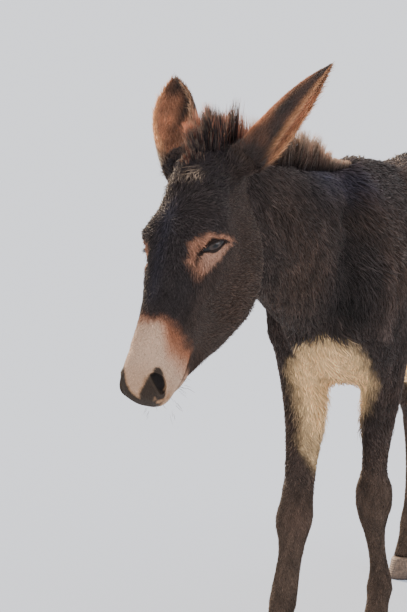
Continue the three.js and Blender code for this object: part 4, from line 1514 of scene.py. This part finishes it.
def make_tail_switch(material):
    """The long hair at the end of the tail."""
    count = 1500
    root_x, root_y, root_top, root_span = 0.003, 0.632, 0.735, 0.13
    tip_x, tip_y, tip_spread = 0.005, 0.631, 0.030
    share = rng.random(count)
    angle = rng.uniform(0, 2 * math.pi, count)
    around = np.stack([np.cos(angle), np.sin(angle)], 1)
    flat = np.zeros(count)
    centre = np.column_stack([flat + root_x, flat + root_y, root_top - root_span * share])
    roots = centre + SHIFT + np.column_stack([around * (0.010 - 0.004 * share)[:, None], flat])
    spread = rng.uniform(0.25, 1.0, count) * tip_spread
    bottom = 0.72 - rng.uniform(0.12, 0.275, count) * (0.8 + 0.2 * share)
    narrow = 1 - 0.75 * step(0.55, 0.44, bottom)
    tip_xs, tip_ys = tip_x + around[:, 0] * spread * narrow, tip_y + around[:, 1] * spread * narrow
    tips = np.column_stack([tip_xs, tip_ys, bottom]) + SHIFT
    roots[:, 2] = np.maximum(roots[:, 2], tips[:, 2] + 0.06)
    return hair_piece("tail_switch_hair", roots, tips, 0.0034, material, 0.3 * rng.random(count), -1)


def whisker_lines(side):
    """Roots and tips of the feelers of one side, in the head's frame."""
    count = 22
    middle = np.array([0, -0.46, -0.085])
    low, high = (0.012, -0.525, -0.132), (0.046, -0.44, -0.105)
    spots = [rng.uniform(a, b, count) for a, b in zip(low, high)]
    place = np.column_stack(spots) * mirror_of(side)
    out = unit(place - middle + rng.normal(0, 0.008, place.shape))
    return place, place + out * rng.uniform(0.010, 0.024, (count, 1))


def lash_lines(side):
    """Roots and tips of the lashes of one upper lid, in the head's frame."""
    count = 60
    along = rng.uniform(-0.85, 0.6, count)
    lid = UPPER_LID * (1 - (np.abs(along) / SLIT_HALF) ** SLIT_ROUND) ** (1 / SLIT_ROUND) + 0.05
    flat = np.cos(lid)
    spoke = unit(np.column_stack([np.cos(along) * flat, np.sin(along) * flat, -side * np.sin(lid)]))
    spoke = spoke @ np.array(eye_axes(side))
    edge = mirror_of(side) * EYE + spoke * (EYE_RADIUS + 0.0012)
    lash = unit(spoke + 0.35 * LASH_LIE * mirror_of(side) + rng.normal(0, 0.12, edge.shape))
    return edge, edge + lash * rng.uniform(0.008, 0.014, (count, 1))


def make_whiskers(material):
    """A few long feelers round the lips and chin, and the lashes."""
    roots, tips, widths = [], [], []
    for side in (1, -1):
        for lines, width in ((whisker_lines, 0.0006), (lash_lines, 0.0008)):
            start, end = lines(side)
            roots.append(from_head(start))
            tips.append(from_head(end))
            widths.append(np.full(len(start), width))
    roots, tips, widths = np.concatenate(roots), np.concatenate(tips), np.concatenate(widths)
    dark = np.tile(HAIR_DARK, (len(roots), 1))
    place = np.full((len(roots), 2), 0.5)
    mesh = hair_between("whiskers_and_lashes", roots, tips, widths, dark, dark * 1.3, place, bow=0.2)
    add_piece("whiskers_and_lashes", mesh, material)


# ---- Eyes and hooves ----
BALL_RADIUS = EYE_RADIUS - 0.0003
IRIS_ASIDE = 0.05  # the iris lies off the ball's middle, away from the inner corner
PUPIL_HALF = (0.36, 0.20)
HOOF_GRAIN = 0.0025
HOOF_TOP = 0.0535
HOOF_RINGED = 0.052  # the height over which the horn's rings are counted


def add_field(mesh, name, values):
    """Values at the mesh's points for its material to read."""
    mesh.attributes.new(name, "FLOAT", "POINT").data.foreach_set("value", values.astype(np.float32))


def make_eyes(material):
    for name, side in (("left", 1), ("right", -1)):
        solid = bmesh.new()
        bmesh.ops.create_uvsphere(solid, u_segments=48, v_segments=32, radius=BALL_RADIUS)
        mesh = bpy.data.meshes.new(f"eyeball_{name}")
        solid.to_mesh(mesh)
        solid.free()
        out, slit, across = eye_axes(side)
        local = unit(vertices_of(mesh))
        away = np.arccos(np.clip(local[:, 2], -1, 1))
        bulge = 1 + 0.035 * step(0.85, 0.2, away) - 0.14 * step(1.10, 1.6, away)
        placed = (local * bulge[:, None] * [EYE_LONG, 1, 1]) @ np.array([slit, across, out]) * BALL_RADIUS
        set_vertices(mesh, from_head(placed + mirror_of(side) * EYE))
        inward, upward, front = EYE_LONG * local[:, 0] + IRIS_ASIDE, local[:, 1], local[:, 2] > 0
        iris = np.hypot(inward, upward)
        pupil = np.hypot(inward / PUPIL_HALF[0], upward / PUPIL_HALF[1])
        add_field(mesh, "iris", step(0.74, 0.62, iris) * front)
        add_field(mesh, "pupil", step(1.15, 0.85, pupil) * front)
        smooth_shaded(mesh)
        made = add_piece(f"eyeball_{name}", mesh, material)
        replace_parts(made, f"eye_{name}")


def make_hooves(material):
    for end in ("fore", "hind"):
        for side in ("left", "right"):
            node = f"{end}_hoof_{side}"
            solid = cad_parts[node].data.copy()
            mesh = modified(solid, "REMESH", mode="VOXEL", voxel_size=HOOF_GRAIN)
            mesh.materials.clear()
            points = smoothed(vertices_of(mesh), edges_of(mesh), 0.5, 16)
            points[:, 2] = np.clip(points[:, 2] * 1.03 - 0.0006, 0, HOOF_TOP)
            set_vertices(mesh, points)
            add_field(mesh, "level", points[:, 2] / HOOF_RINGED)
            smooth_shaded(mesh)
            made = add_piece(f"horn_{end}_{side}", mesh, material)
            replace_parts(made, node)


def assemble():
    skin_material, coat_material = skin_finish(), coat_finish()
    mesh = make_skin()
    smooth_shaded(mesh)
    hide, share, place, own = dress_skin(mesh)
    skin = add_piece("skin", modified(mesh, "DECIMATE", ratio=SKIN_SHARE), skin_material)
    join_into(skin, make_ears(skin_material, coat_material))
    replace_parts(skin, *[node for region in REGIONS for node in FLESH[region]])
    make_coat(hide, share, place, own, coat_material)
    make_fringe(hide, coat_material)
    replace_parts(make_mane(coat_material), "mane")
    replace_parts(make_forelock(coat_material), "forelock")
    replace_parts(make_tail_switch(coat_material), "tail_switch")
    make_whiskers(coat_material)
    make_eyes(eye_finish())
    make_hooves(horn_finish())


set_camera()
add_floor()
light_scene()
assemble()
